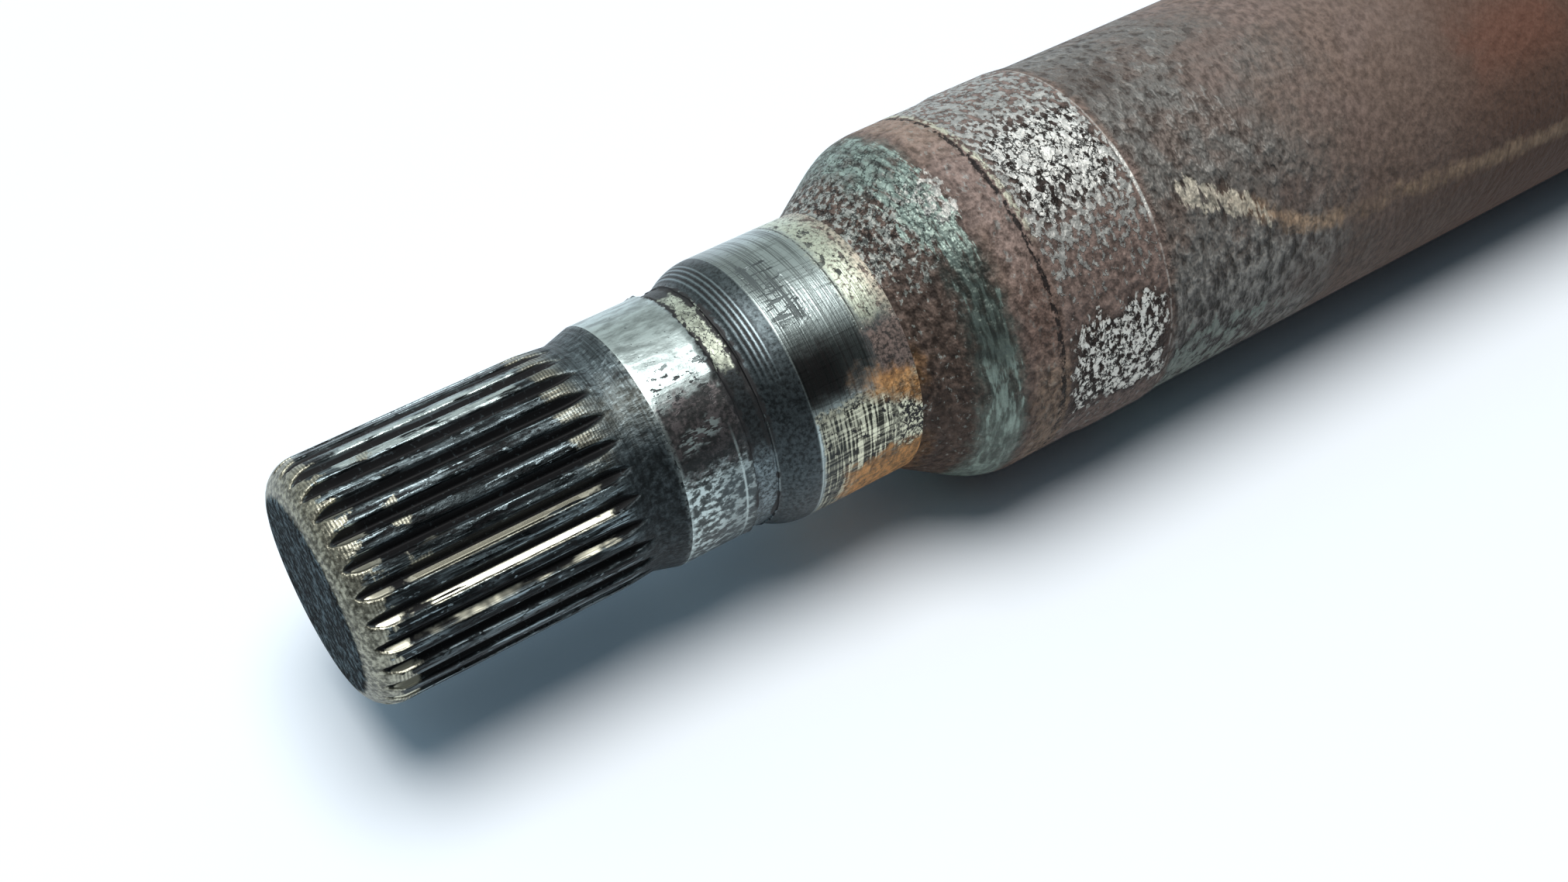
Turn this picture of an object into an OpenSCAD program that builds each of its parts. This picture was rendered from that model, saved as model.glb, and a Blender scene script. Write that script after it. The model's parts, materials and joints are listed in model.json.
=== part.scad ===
// Axle shaft: one forged and turned steel bar, with a splined end, a bearing seat, a seal track,
// a conical shoulder and a dust-ring collar at each end of a plain round body.
// The shaft lies along X, with its origin at mid-length on its axis. Sizes are in millimetres.

/* [Shaft] */
// Length over both end faces
shaft_l = 400; // [300:5:900]
// Diameter of the plain body between the two collars
body_d = 44.6; // [42:0.1:46]

/* [Spline] */
// Diameter over the spline's teeth
spline_d = 28.9; // [28.4:0.1:29.4]
// Number of teeth
teeth = 28; // [20:1:32]
// Radius of the rounded nose that leads the spline into its gear
nose_r = 4; // [1.5:0.25:6]
// Length of the toothed land behind the nose
spline_l = 26.8; // [15:0.1:60]
// Depth of a groove below the teeth
groove_depth = 1.05; // [0.6:0.05:1.4]
// Width of a groove at the top of the teeth
groove_w = 1.95; // [1.2:0.05:2.4]
// Width of a groove at its flat root
root_w = 0.5; // [0.2:0.05:0.9]
// Radius of the disc that cut the grooves, seen where they run out
cutter_r = 12; // [8:0.5:20]
// Distance before the end of the land at which the cutter starts to rise
runout_back = 1; // [0:0.1:4]
// Angle of the first groove from the top of the shaft
spline_turn = 10.1; // [0:0.1:18]

/* [Neck] */
// Diameter of the neck behind the spline
neck_d = 28.2; // [27.6:0.1:28.4]
// Length over which the teeth fall away to the neck
fade_l = 3.7; // [1:0.1:8]
// Length of the neck
neck_l = 0.5; // [0.2:0.1:6]
// Length of the cone from the neck up to the bearing seat
cone_l = 3.2; // [1:0.1:8]

/* [Bearing seat] */
// Diameter of the bearing seat
bearing_d = 30; // [29.6:0.1:31.5]
// Length of the bearing seat
bearing_l = 8.6; // [5:0.1:30]
// Width of the relief groove behind the bearing seat
relief_w = 2.8; // [1:0.1:5]
// Depth of the relief groove
relief_depth = 0.25; // [0.1:0.05:0.8]
// Length of the rim between the relief groove and the seal lead-in
rim_l = 0.5; // [0.2:0.1:4]

/* [Seal track] */
// Diameter of the ground track that the oil seal runs on
seal_d = 33.1; // [32:0.1:36]
// Length of the seal track
seal_l = 13.9; // [6:0.1:30]
// Length of the rounded lead-in that a seal lip slides up
lead_l = 4.5; // [3.5:0.1:8]

/* [Shoulder] */
// Diameter of the shoulder's land
shoulder_d = 44.8; // [42:0.1:50]
// Angle of the shoulder's cone to the axis
shoulder_angle = 31.5; // [20:0.5:50]
// Radius of the fillet at the foot of the cone
foot_r = 1.2; // [0.4:0.1:4]
// Radius that rounds the top of the cone into the land
brow_r = 9.4; // [2:0.2:12]
// Length of the shoulder's land
land_l = 9.7; // [3:0.1:40]

/* [Collar] */
// Diameter of the raised collar that a dust ring is pressed on
collar_d = 45.3; // [44:0.1:52]
// Length of the collar
collar_l = 7.8; // [3:0.1:25]
// Length of the ramp from the shoulder's land up to the collar
ramp_in_l = 2; // [0.5:0.1:6]
// Length of the ramp from the collar down to the body
ramp_out_l = 3.2; // [0.5:0.1:8]

/* [Hidden] */
$fn = 96;

steel = [0.45, 0.42, 0.40];
arc_steps = 10;
overcut = 0.5;

// Radii
body_r = body_d / 2;
spline_r = spline_d / 2;
root_r = spline_r - groove_depth;
neck_r = neck_d / 2;
bearing_r = bearing_d / 2;
relief_r = bearing_r - relief_depth;
seal_r = seal_d / 2;
shoulder_r = shoulder_d / 2;
collar_r = collar_d / 2;

// The lead-in is one arc from the bearing seat's rim that ends level with the seal track
lead_rise = seal_r - bearing_r;
lead_r = (lead_l * lead_l + lead_rise * lead_rise) / (2 * lead_rise);
lead_angle = asin(lead_l / lead_r);

// Rise of the foot fillet and of the brow, with the straight cone between them
foot_rise = foot_r * (1 - cos(shoulder_angle));
brow_rise = brow_r * (1 - cos(shoulder_angle));
cone_rise = shoulder_r - seal_r - foot_rise - brow_rise;

// Distances from the end face, each from the one before
land_start = nose_r;
fade_start = land_start + spline_l;
neck_start = fade_start + fade_l;
cone_start = neck_start + neck_l;
bearing_start = cone_start + cone_l;
relief_start = bearing_start + bearing_l;
rim_start = relief_start + relief_w;
lead_start = rim_start + rim_l;
seal_start = lead_start + lead_l;
foot_start = seal_start + seal_l;
foot_end = foot_start + foot_r * sin(shoulder_angle);
brow_start = foot_end + cone_rise / tan(shoulder_angle);
brow_end = brow_start + brow_r * sin(shoulder_angle);
ramp_in_start = brow_end + land_l;
collar_start = ramp_in_start + ramp_in_l;
ramp_out_start = collar_start + collar_l;
body_start = ramp_out_start + ramp_out_l;

// The cutter's rise, taken until its root is well above the teeth
runout_start = fade_start - runout_back;
runout_angle = acos(1 - (groove_depth + overcut) / cutter_r);

// Points of an arc about a centre, as distance from the end face and radius
function arc(centre, r, from, to) = [
    for (i = [0 : arc_steps])
        let (a = from + (to - from) * i / arc_steps)
            centre + r * [cos(a), sin(a)]
];

// Outline of one end, from the end face to the plain body
function end_outline() = concat(
    [[0, 0]],
    arc([nose_r, spline_r - nose_r], nose_r, 180, 90),
    [
        [fade_start, spline_r],
        [neck_start, neck_r],
        [cone_start, neck_r],
        [bearing_start, bearing_r],
        [relief_start, bearing_r],
        [relief_start, relief_r],
        [rim_start, relief_r],
        [rim_start, bearing_r]
    ],
    arc([seal_start, seal_r - lead_r], lead_r, 90 + lead_angle, 90),
    arc([foot_start, seal_r + foot_r], foot_r, -90, -90 + shoulder_angle),
    arc([brow_end, shoulder_r - brow_r], brow_r, 90 + shoulder_angle, 90),
    [
        [ramp_in_start, shoulder_r],
        [collar_start, collar_r],
        [ramp_out_start, collar_r],
        [body_start, body_r]
    ]
);

// The same outline at the other end, read back from the body to the end face
function far_end_outline() =
    let (near = end_outline(), last = len(near) - 1)
        [for (i = [last : -1 : 0]) [shaft_l - near[i][0], near[i][1]]];

// Section of a groove, from its flat root out past the top of the teeth
module groove_section() {
    height = groove_depth + overcut;
    top_w = root_w + (groove_w - root_w) * height / groove_depth;
    polygon([[-root_w / 2, 0], [root_w / 2, 0], [top_w / 2, height], [-top_w / 2, height]]);
}

// One groove at the top of the shaft: straight from the end face, then rising with the cutter's disc
module groove() {
    translate([-overcut, 0, root_r])
        rotate([90, 0, 90])
            linear_extrude(runout_start + overcut)
                groove_section();
    translate([runout_start, 0, root_r + cutter_r])
        rotate([0, 90, -90])
            rotate_extrude(angle = runout_angle)
                translate([cutter_r, 0])
                    rotate(90)
                        groove_section();
}

// Ring of grooves that leaves the teeth of one end standing
module spline_grooves() {
    translate([-shaft_l / 2, 0, 0])
        for (i = [0 : teeth - 1])
            rotate([spline_turn + i * 360 / teeth, 0, 0])
                groove();
}

// The bar as turned, before its grooves are cut
module turned_bar() {
    outline = concat(end_outline(), far_end_outline());
    translate([-shaft_l / 2, 0, 0])
        rotate([90, 0, 90])
            rotate_extrude()
                polygon([for (p = outline) [p[1], p[0]]]);
}

// The whole shaft, splined at both ends
module axle_shaft() {
    color(steel)
        difference() {
            turned_bar();
            spline_grooves();
            mirror([1, 0, 0])
                spline_grooves();
        }
}

axle_shaft();
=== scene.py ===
import json
import math

import bpy
import numpy as np
from bpy.props import FloatProperty, FloatVectorProperty, IntProperty, PointerProperty
from bpy.types import Operator, Panel, PropertyGroup
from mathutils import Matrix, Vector


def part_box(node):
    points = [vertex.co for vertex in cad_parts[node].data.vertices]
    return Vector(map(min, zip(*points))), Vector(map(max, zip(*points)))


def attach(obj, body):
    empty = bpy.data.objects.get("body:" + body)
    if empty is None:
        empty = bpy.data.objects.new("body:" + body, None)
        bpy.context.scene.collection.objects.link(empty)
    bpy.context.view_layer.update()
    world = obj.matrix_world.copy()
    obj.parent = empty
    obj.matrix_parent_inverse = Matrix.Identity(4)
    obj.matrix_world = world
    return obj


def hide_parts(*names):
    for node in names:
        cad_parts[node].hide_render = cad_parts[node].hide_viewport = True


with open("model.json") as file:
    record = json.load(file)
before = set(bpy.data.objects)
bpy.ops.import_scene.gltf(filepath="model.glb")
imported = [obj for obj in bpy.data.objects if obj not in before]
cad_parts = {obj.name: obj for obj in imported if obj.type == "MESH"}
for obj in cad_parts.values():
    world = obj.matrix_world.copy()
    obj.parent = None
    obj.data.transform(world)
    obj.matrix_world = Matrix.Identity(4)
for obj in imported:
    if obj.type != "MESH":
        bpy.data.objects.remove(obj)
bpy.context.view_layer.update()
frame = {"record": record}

bl_info = {
    "name": "Worn axle shaft",
    "version": (1, 0, 0),
    "blender": (4, 5, 0),
    "location": "View3D > Sidebar > Axle shaft",
    "description": "Builds a worn, rusted axle shaft over its solid and sets a plain stage for it",
    "category": "Object",
}

NODE = "axle_shaft"
MM = 0.001
LOW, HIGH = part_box(NODE)
HALF = HIGH.x
MOUNTS = {mount["name"]: mount for mount in frame["record"]["mounts"]}
MOST_TRIANGLES = 200_000

# Turned rings of the lead-in
RINGS_FROM = 50.5 * MM
RING_PITCH = 0.6 * MM
RING_COUNT = 5
RING_DEPTH = 0.06 * MM

# Small shapes of the skin. The rounding is a share of the root's width, the rubbed flank lies at a share
# of the pitch, and the seeds are those of the left and right half
HUB_RADIUS = 2.5 * MM
EDGE = 0.05 * MM
SEAT_EDGE_DROP = 0.02 * MM
GROOVE_SHARPNESS = 26.0 / MM
GRIME_HEIGHT = 0.3 * MM
NICK_DEPTH = 0.22 * MM
NICKS_FROM = 0.6 * MM
RUST_LOSS = 0.04 * MM
RUST_PIT_DEPTH = 0.06 * MM
MIDDLE_DROP = 0.03 * MM
ROOT_ROUNDING = 0.3
RUBBED_FLANK = -0.2
RUBBED_WIDTH = 0.13
EXPONENT_LIMIT = 60
END_SEEDS = (11, 31)
BODY_SEEDS = (51, 71)

# Random fields of the skin: how many cells go round the shaft, and the length of a cell
FINE_GRIME = (96, 0.4 * MM)
COARSE_GRIME = (40, 1.0 * MM)
NICKS = (168, 0.8 * MM)
RUST_PITS = (60, 2.2 * MM)

# Finishes, in degrees and millimetres: the side that faces the camera, where the angle round the shaft is
# centred and the painted light and shade are set, half the stretch over which the single marks fade at
# mid-length, the ribs of rubbed steel, and how far a seed shifts a noise
VIEW_SIDE = 50.0
MARKS_FADE = 5.0
RIB_PITCH = 0.38
SEED_SHIFT = (7.3, 3.1, 5.7)

# Stage: the floor's reach and what it scatters of its colour, the camera, and the room's levels and tints
FLOOR_REACH = 12.0
FLOOR_CELLS = 8
FLOOR_SCATTER = 0.27
SENSOR_WIDTH = 36.0
NEAREST_VIEW = 0.005
ROOM_FRONT = 0.035
ROOM_BACK = 0.6
ROOM_TOP = 0.4
ROOM_HORIZON = 0.85
SCATTERED_TINT = (0.66, 1.0, 1.28)
SEEN_TINT = (0.93, 1.0, 0.99)


def journal_radius(name):
    """Radius of a turned journal in metres, from its mount in the record."""
    return MOUNTS[name]["dims"]["r_mm"] * MM


def journal_length(name):
    """Length of a turned journal in metres, from its mount in the record."""
    return MOUNTS[name]["dims"]["length_mm"] * MM


def journal_start(name):
    """Distance in metres from the nearer end face to where a journal starts."""
    return HALF - abs(MOUNTS[name]["pos_m"][0]) - journal_length(name) / 2


def tone(red, green, blue):
    """Screen colour from 0 to 255 as the linear colour that a shader takes."""
    part = np.array([red, green, blue]) / 255
    linear = np.where(part <= 0.04045, part / 12.92, ((part + 0.055) / 1.055) ** 2.4)
    return tuple(float(value) for value in linear)


def feed(tree, entry, value):
    """Joins a socket to an input, or sets the input to a number, a vector or a colour."""
    if isinstance(value, bpy.types.NodeSocket):
        tree.links.new(value, entry)
    else:
        entry.default_value = value


def add_node(tree, kind, feeds=None, out=0, **settings):
    """New node with its inputs fed by sockets or values. Gives one output, or the node itself."""
    node = tree.nodes.new(kind)
    for key, value in settings.items():
        setattr(node, key, value)
    for key, value in (feeds or {}).items():
        feed(tree, node.inputs[key], value)
    return node if out is None else node.outputs[out]


def opaque(colour):
    """A colour with full cover added."""
    return (*colour[:3], 1.0)


def length(name, text, value):
    """Property that holds a length in metres."""
    return FloatProperty(name=name, description=text, default=value, min=0.0, precision=5, unit="LENGTH")


def colour(name, text, red, green, blue):
    """Property that holds a colour, given as it looks on screen."""
    shade = tone(red, green, blue)
    return FloatVectorProperty(name=name, description=text, default=shade, min=0.0, max=1.0, subtype="COLOR")


class ShaftSizes(PropertyGroup):
    """Sizes of the shaft's skin. The defaults are those of the solid."""

    spline_radius: length("Spline radius", "Radius over the spline's teeth", 0.01445)
    teeth: IntProperty(name="Teeth", description="Number of teeth on each spline", default=28, min=8)
    first_groove: FloatProperty(
        name="First groove",
        description="Angle of the first groove above the front of the shaft",
        default=math.radians(79.9),
        subtype="ANGLE",
    )
    nose_radius: length("Nose radius", "Rounding that leads the spline into its gear", 0.004)
    spline_length: length("Spline length", "Length of the toothed land behind the nose", 0.0268)
    groove_depth: length("Groove depth", "Depth of a groove below the teeth", 0.00105)
    groove_width: length("Groove width", "Width of a groove at the top of the teeth", 0.00195)
    root_width: length("Root width", "Width of a groove at its flat root", 0.0005)
    cutter_radius: length("Cutter radius", "Radius of the disc that cut the grooves", 0.012)
    runout_back: length("Run-out", "Distance before the land's end where the cutter rises", 0.001)
    neck_radius: length("Neck radius", "Radius of the neck behind the spline", 0.0141)
    fade_length: length("Fade length", "Length over which the teeth fall to the neck", 0.0037)
    neck_length: length("Neck length", "Length of the neck", 0.0005)
    bearing_radius: length("Bearing seat radius", "Radius of the seat", journal_radius("bearing_left"))
    bearing_start: length("Bearing seat start", "End face to bearing seat", journal_start("bearing_left"))
    bearing_length: length("Bearing seat length", "Length of the seat", journal_length("bearing_left"))
    relief_width: length("Relief width", "Width of the groove behind the bearing seat", 0.0028)
    relief_depth: length("Relief depth", "Depth of that groove", 0.00025)
    rim_length: length("Rim length", "Rim between the groove and the seal's lead-in", 0.0005)
    seal_radius: length("Seal track radius", "Radius of the seal track", journal_radius("seal_left"))
    seal_start: length("Seal track start", "End face to seal track", journal_start("seal_left"))
    seal_length: length("Seal track length", "Length of the seal track", journal_length("seal_left"))
    shoulder_radius: length("Shoulder radius", "Radius of the shoulder's land", 0.0224)
    shoulder_angle: FloatProperty(
        name="Shoulder angle",
        description="Angle of the shoulder's cone to the axis",
        default=math.radians(31.5),
        subtype="ANGLE",
    )
    foot_radius: length("Foot radius", "Fillet at the foot of the cone", 0.0012)
    brow_radius: length("Brow radius", "Rounding from the cone into the land", 0.0094)
    collar_radius: length("Collar radius", "Radius of the dust-ring collar", journal_radius("collar_left"))
    collar_start: length("Collar start", "End face to collar", journal_start("collar_left"))
    collar_length: length("Collar length", "Length of the collar", journal_length("collar_left"))
    ramp_in: length("Front ramp", "Length of the ramp up to the collar", 0.002)
    ramp_out: length("Rear ramp", "Length of the ramp down to the body", 0.0032)
    body_radius: length("Body radius", "Radius of the plain body", 0.0223)


class ShaftFinish(PropertyGroup):
    """Colours of the shaft's metal, oil and rust."""

    bright_steel: colour("Bright steel", "Ground steel of the bearing seat and seal track", 178, 190, 188)
    nose_steel: colour("Nose steel", "Turned steel of the nose and the rubbed teeth", 156, 154, 138)
    dark_steel: colour("Dark steel", "Oiled steel of the teeth and neck", 61, 68, 70)
    oil_black: colour("Oil black", "Old oil and grime in grooves and corners", 18, 18, 19)
    # This brown-purple colour is also painted shade: the dark reflection along the side of the journals and
    # seal track.
    stain_and_shade: colour("Stain", "Brown-purple stain on the journals", 90, 82, 82)
    cream: colour("Cream", "Dry steel and scale", 208, 206, 182)
    chalk: colour("Chalk", "Dry, dulled steel of the relief groove and seal track", 200, 206, 186)
    flake: colour("Flake", "White flakes on the collar", 234, 230, 220)
    rust: colour("Rust", "Even brown rust", 118, 99, 88)
    deep_rust: colour("Deep rust", "Darker rust of the middle of the body", 99, 75, 63)
    red_rust: colour("Red rust", "Reddish rust of the collar and its land", 127, 108, 99)
    grey_rust: colour("Grey rust", "Grey rust of the body behind the collar", 120, 116, 110)
    tan: colour("Tan", "Tan run along the body", 164, 138, 114)
    bone: colour("Bone", "Pale flakes at the start of the run", 226, 213, 190)
    orange_rust: colour("Orange rust", "Fresh orange rust", 168, 121, 72)
    patina: colour("Patina", "Blue-green film on the shoulder", 146, 160, 149)
    blush: colour("Blush", "Red rust far along the body", 148, 84, 62)


class StageSettings(PropertyGroup):
    """Camera, light and floor."""

    camera_place: FloatVectorProperty(
        name="Camera place",
        description="Where the camera stands",
        default=(-0.23224, -0.13687, 0.16617),
        subtype="TRANSLATION",
        unit="LENGTH",
    )
    camera_aim: FloatVectorProperty(
        name="Camera aim",
        description="Point at the centre of the picture",
        default=(-0.14599, -0.00947, 0.0),
        subtype="TRANSLATION",
        unit="LENGTH",
    )
    lens: FloatProperty(name="Lens", description="Focal length in millimetres", default=45.56, min=1.0)
    light: FloatProperty(name="Light", description="Strength of the overhead light", default=2.75, min=0.0)
    light_spread: FloatProperty(
        name="Light spread",
        description="Width of the overhead light as seen from the shaft",
        default=math.radians(40),
        subtype="ANGLE",
    )
    light_tilt: FloatProperty(
        name="Light tilt",
        description="Lean of the overhead light towards the back",
        default=math.radians(3),
        subtype="ANGLE",
    )
    floor: colour("Floor", "Plain pale floor", 246, 248, 250)


class Finish:
    """A finish built up in coats. Each coat has a mask, a colour, a share of bare metal and a roughness.

    Places are in millimetres: self.along is the distance from the nearer end face, self.radius the
    distance from the axis, and self.angle the angle round the shaft in degrees, 0 in front and 90 on top.
    The angle folds back behind the shaft about the side that faces the camera, so that the wear, and the
    painted light and shade, go all round with no seam. self.shown is 1 on the left half, which has the
    single marks, and 0 on the right half, which is plainly worn.

    In the functions after it f is the finish and look holds its colours. Borders along the shaft are in
    millimetres and borders round it in degrees, and the level of a noise runs from 0 to 1.
    """

    def __init__(self, name, colour, metal, rough):
        self.material = bpy.data.materials.new(name)
        self.material.use_nodes = True
        self.tree = self.material.node_tree
        self.shader = self.tree.nodes["Principled BSDF"]
        self.colour = opaque(colour)
        self.metal = metal
        self.rough = rough
        self.height = 0.0
        spot = self.add("ShaderNodeTexCoord", out="Object")
        self.place = self.add("ShaderNodeVectorMath", {0: spot, 3: 1 / MM}, operation="SCALE")
        split = self.add("ShaderNodeSeparateXYZ", {0: self.place}, out=None)
        away = self.math("ABSOLUTE", split.outputs[0])
        self.along = self.math("SUBTRACT", HALF / MM, away)
        self.shown = self.spread(split.outputs[0], MARKS_FADE, -MARKS_FADE)
        lean = math.radians(VIEW_SIDE)
        toward = self.part_along((0.0, -math.cos(lean), math.sin(lean)))
        across = self.part_along((0.0, math.sin(lean), math.cos(lean)))
        turn = self.math("ARCTAN2", across, self.math("ABSOLUTE", toward))
        flat = self.add("ShaderNodeVectorMath", {0: self.place, 1: (0, 1, 1)}, operation="MULTIPLY")
        self.radius = self.add("ShaderNodeVectorMath", {0: flat}, out="Value", operation="LENGTH")
        self.angle = self.math("ADD", self.math("MULTIPLY", turn, 180 / math.pi), VIEW_SIDE)

    def add(self, kind, feeds=None, out=0, **settings):
        """New node in the finish's own tree."""
        return add_node(self.tree, kind, feeds, out, **settings)

    def math(self, operation, first, second=0.0):
        """One step of arithmetic."""
        return self.add("ShaderNodeMath", {0: first, 1: second}, operation=operation)

    def part_along(self, way):
        """How far a place lies along a direction from the axis."""
        feeds = {0: self.place, 1: way}
        return self.add("ShaderNodeVectorMath", feeds, out="Value", operation="DOT_PRODUCT")

    def sheared(self, start, slope):
        """The angle plus so many degrees to the millimetre, counted from a place along the shaft."""
        past = self.math("SUBTRACT", self.along, start)
        return self.math("ADD", self.angle, self.math("MULTIPLY", past, slope))

    def times(self, first, *rest):
        """Product of masks."""
        for value in rest:
            first = self.math("MULTIPLY", first, value)
        return first

    def either(self, first, second):
        """Larger of two masks."""
        return self.math("MAXIMUM", first, second)

    def spread(self, value, low, high):
        """Soft step: 0 at low, 1 at high."""
        feeds = {0: value, 1: low, 2: high}
        return self.add("ShaderNodeMapRange", feeds, interpolation_type="SMOOTHSTEP")

    def band(self, value, low, high, soft):
        """Soft window: 1 between low and high, 0 outside."""
        rise = self.spread(value, low - soft, low + soft)
        fall = self.spread(value, high + soft, high - soft)
        return self.times(rise, fall)

    def grain(self, size, stretch=(1, 1, 1), detail=3.0, rough=0.6, seed=0.0, turn=(0, 0, 0)):
        """Noise with a feature size in millimetres, drawn out by the given lengths along each axis."""
        scale = tuple(0.5 / (size * part) for part in stretch)
        shift = tuple(seed * step for step in SEED_SHIFT)
        feeds = {"Vector": self.place, "Location": shift, "Rotation": turn, "Scale": scale}
        spot = self.add("ShaderNodeMapping", feeds)
        feeds = {"Vector": spot, "Scale": 1.0, "Detail": detail, "Roughness": rough}
        return self.add("ShaderNodeTexNoise", feeds)

    def wobble(self, value, size, amount, seed=0.0):
        """A value pushed up and down by noise, so that a border isn't a clean line."""
        noise = self.math("SUBTRACT", self.grain(0.5 * size, seed=seed), 0.5)
        return self.math("ADD", value, self.math("MULTIPLY", noise, amount))

    def mask(self, name):
        """Mask that the skin carries in one of its point attributes."""
        return self.add("ShaderNodeAttribute", out="Fac", attribute_name=name)

    def shade(self, mask, first, second):
        """Colour between two colours."""
        feeds = {0: mask}
        for key, value in ((6, first), (7, second)):
            feeds[key] = value if isinstance(value, bpy.types.NodeSocket) else opaque(value)
        return self.add("ShaderNodeMix", feeds, out=2, data_type="RGBA")

    def lit(self, colour, light):
        """A colour made lighter or darker."""
        return tuple(min(1.0, part * light) for part in colour)

    def shades(self, value, colour, *stops):
        """Darker and lighter shades of a colour. A stop is a place and how much lighter it is there."""
        node = self.add("ShaderNodeValToRGB", {0: value}, out=None)
        marks = node.color_ramp.elements
        while len(marks) < len(stops):
            marks.new(0.5)
        for mark, (place, light) in zip(marks, stops):
            mark.position = place
            mark.color = opaque(self.lit(colour, light))
        return node.outputs[0]

    def flakes(self, noise, zone, soft=0.04):
        """Flakes that cover most of the surface where the zone is 1, fewer where it is less, none at 0."""
        need = self.level(zone, 0.8, 0.42)
        return self.spread(noise, self.math("SUBTRACT", need, soft), self.math("ADD", need, soft))

    def cracks(self, size, width, seed):
        """Thin winding lines."""
        away = self.math("SUBTRACT", self.grain(size, (1, 1.3, 1.3), 3.0, seed=seed), 0.5)
        return self.spread(self.math("ABSOLUTE", away), 2 * width, width)

    def level(self, mask, first, second):
        """Number between two numbers."""
        return self.add("ShaderNodeMix", {0: mask, 2: first, 3: second}, data_type="FLOAT")

    def coat(self, mask, colour=None, metal=None, rough=None, share=1.0):
        """Lays a coat over what is there, where the mask shows it."""
        if share != 1.0:
            mask = self.math("MULTIPLY", mask, share)
        if colour is not None:
            self.colour = self.shade(mask, self.colour, colour)
        if metal is not None:
            self.metal = self.level(mask, self.metal, metal)
        if rough is not None:
            self.rough = self.level(mask, self.rough, rough)
        return mask

    def raise_by(self, mask, amount):
        """Adds relief in millimetres, negative for a pit or a scratch."""
        self.height = self.math("ADD", self.height, self.math("MULTIPLY", mask, amount))

    def close(self, shine=0.5):
        """Joins the coats to the shader. The shine is the mirror level of what isn't bare metal."""
        made = {
            "Base Color": self.colour,
            "Metallic": self.metal,
            "Roughness": self.rough,
            "Specular IOR Level": shine,
            "Normal": self.add("ShaderNodeBump", {"Height": self.height, "Distance": MM, "Strength": 1.0}),
        }
        for name, value in made.items():
            feed(self.tree, self.shader.inputs[name], value)
        return self.material


def spline_steel(look):
    """Teeth, nose, end face and neck: oiled dark steel, rubbed bright in places, black in the grooves."""
    f = Finish("spline_steel", look.dark_steel, metal=0.85, rough=0.4)
    groove = f.mask("groove")
    land = f.spread(groove, 0.3, 0.05)
    wear, fleck = oiled_teeth(f, look, land)
    rubbed_teeth(f, look, land, wear, fleck)
    oily_grooves(f, look, groove)
    face = nose_and_face(f, look, land)
    oiled_neck(f, look, land, fleck)
    return f.close(f.level(face, 0.15, 0.02))


def oiled_teeth(f, look, land):
    """Dark steel with bright and oily streaks and flecks. Gives the noises of the wear and the flecks."""
    wear = f.grain(0.5, (6, 1, 1), detail=4.0, rough=0.65, seed=1)
    f.colour = f.shades(wear, look.dark_steel, (0.38, 0.1), (0.5, 0.6), (0.63, 2.6))
    streak = f.grain(0.25, (30, 1, 1), detail=2.0, seed=2)
    f.coat(f.spread(streak, 0.56, 0.64), f.lit(look.dark_steel, 6.5), metal=1.0, rough=0.3, share=0.8)
    f.coat(f.spread(streak, 0.45, 0.37), look.oil_black, metal=0.3, rough=0.55, share=0.85)
    f.raise_by(f.times(land, streak), 0.06)
    fleck = f.grain(0.34, (2, 1, 1), detail=4.0, rough=0.62, seed=3)
    f.coat(f.spread(fleck, 0.6, 0.66), f.lit(look.dark_steel, 5.5), metal=0.9, rough=0.36, share=0.7)
    f.coat(f.spread(fleck, 0.43, 0.37), look.oil_black, metal=0.1, rough=0.6, share=0.85)
    f.raise_by(f.times(land, fleck), 0.16)
    return wear, fleck


def rubbed_teeth(f, look, land, wear, fleck):
    """Ribbed bare steel at the tips, in a broken ring and at the neck, and a painted highlight of bright
    steel along the top of the teeth.
    """
    rib = f.math("SINE", f.math("MULTIPLY", f.wobble(f.along, 2.5, 0.5, 4), 2 * math.pi / RIB_PITCH))
    rib = f.spread(f.math("ADD", rib, f.math("MULTIPLY", fleck, 2.0)), 0.0, 2.0)
    tips = f.band(f.wobble(f.along, 1.3, 9.0, 5), -6.0, 3.5, 0.4)
    patch = f.spread(f.grain(1.3, seed=7), 0.53, 0.57)
    ring = f.band(f.wobble(f.along, 0.9, 1.6, 6), 8.0, 10.2, 0.25)
    ring = f.times(ring, patch, f.spread(f.angle, 8.0, 40.0), 0.7)
    ends = f.band(f.wobble(f.along, 1.2, 3.0, 8), 29.0, 34.0, 0.5)
    ends = f.times(ends, f.spread(f.angle, 40.0, 62.0), 0.5)
    clean = f.times(f.either(f.either(tips, ring), ends), land)
    # Painted highlight: bright, smooth steel along the top of the lands, where they catch the light from
    # behind.
    top_highlight = f.band(f.wobble(f.angle, 4.0, 12.0, 23), 97.0, 113.0, 2.0)
    top_highlight = f.times(top_highlight, f.spread(wear, 0.4, 0.5), land)
    top_highlight = f.times(top_highlight, f.band(f.wobble(f.along, 2.0, 8.0, 24), 7.0, 27.0, 1.0))
    f.coat(top_highlight, f.lit(look.bright_steel, 1.3), metal=1.0, rough=0.3)
    ribbed = f.shades(rib, look.nose_steel, (0.1, 0.65), (0.9, 1.45))
    f.coat(clean, ribbed, metal=0.95, rough=0.34, share=0.92)
    f.raise_by(f.times(rib, clean), 0.02)


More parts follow.
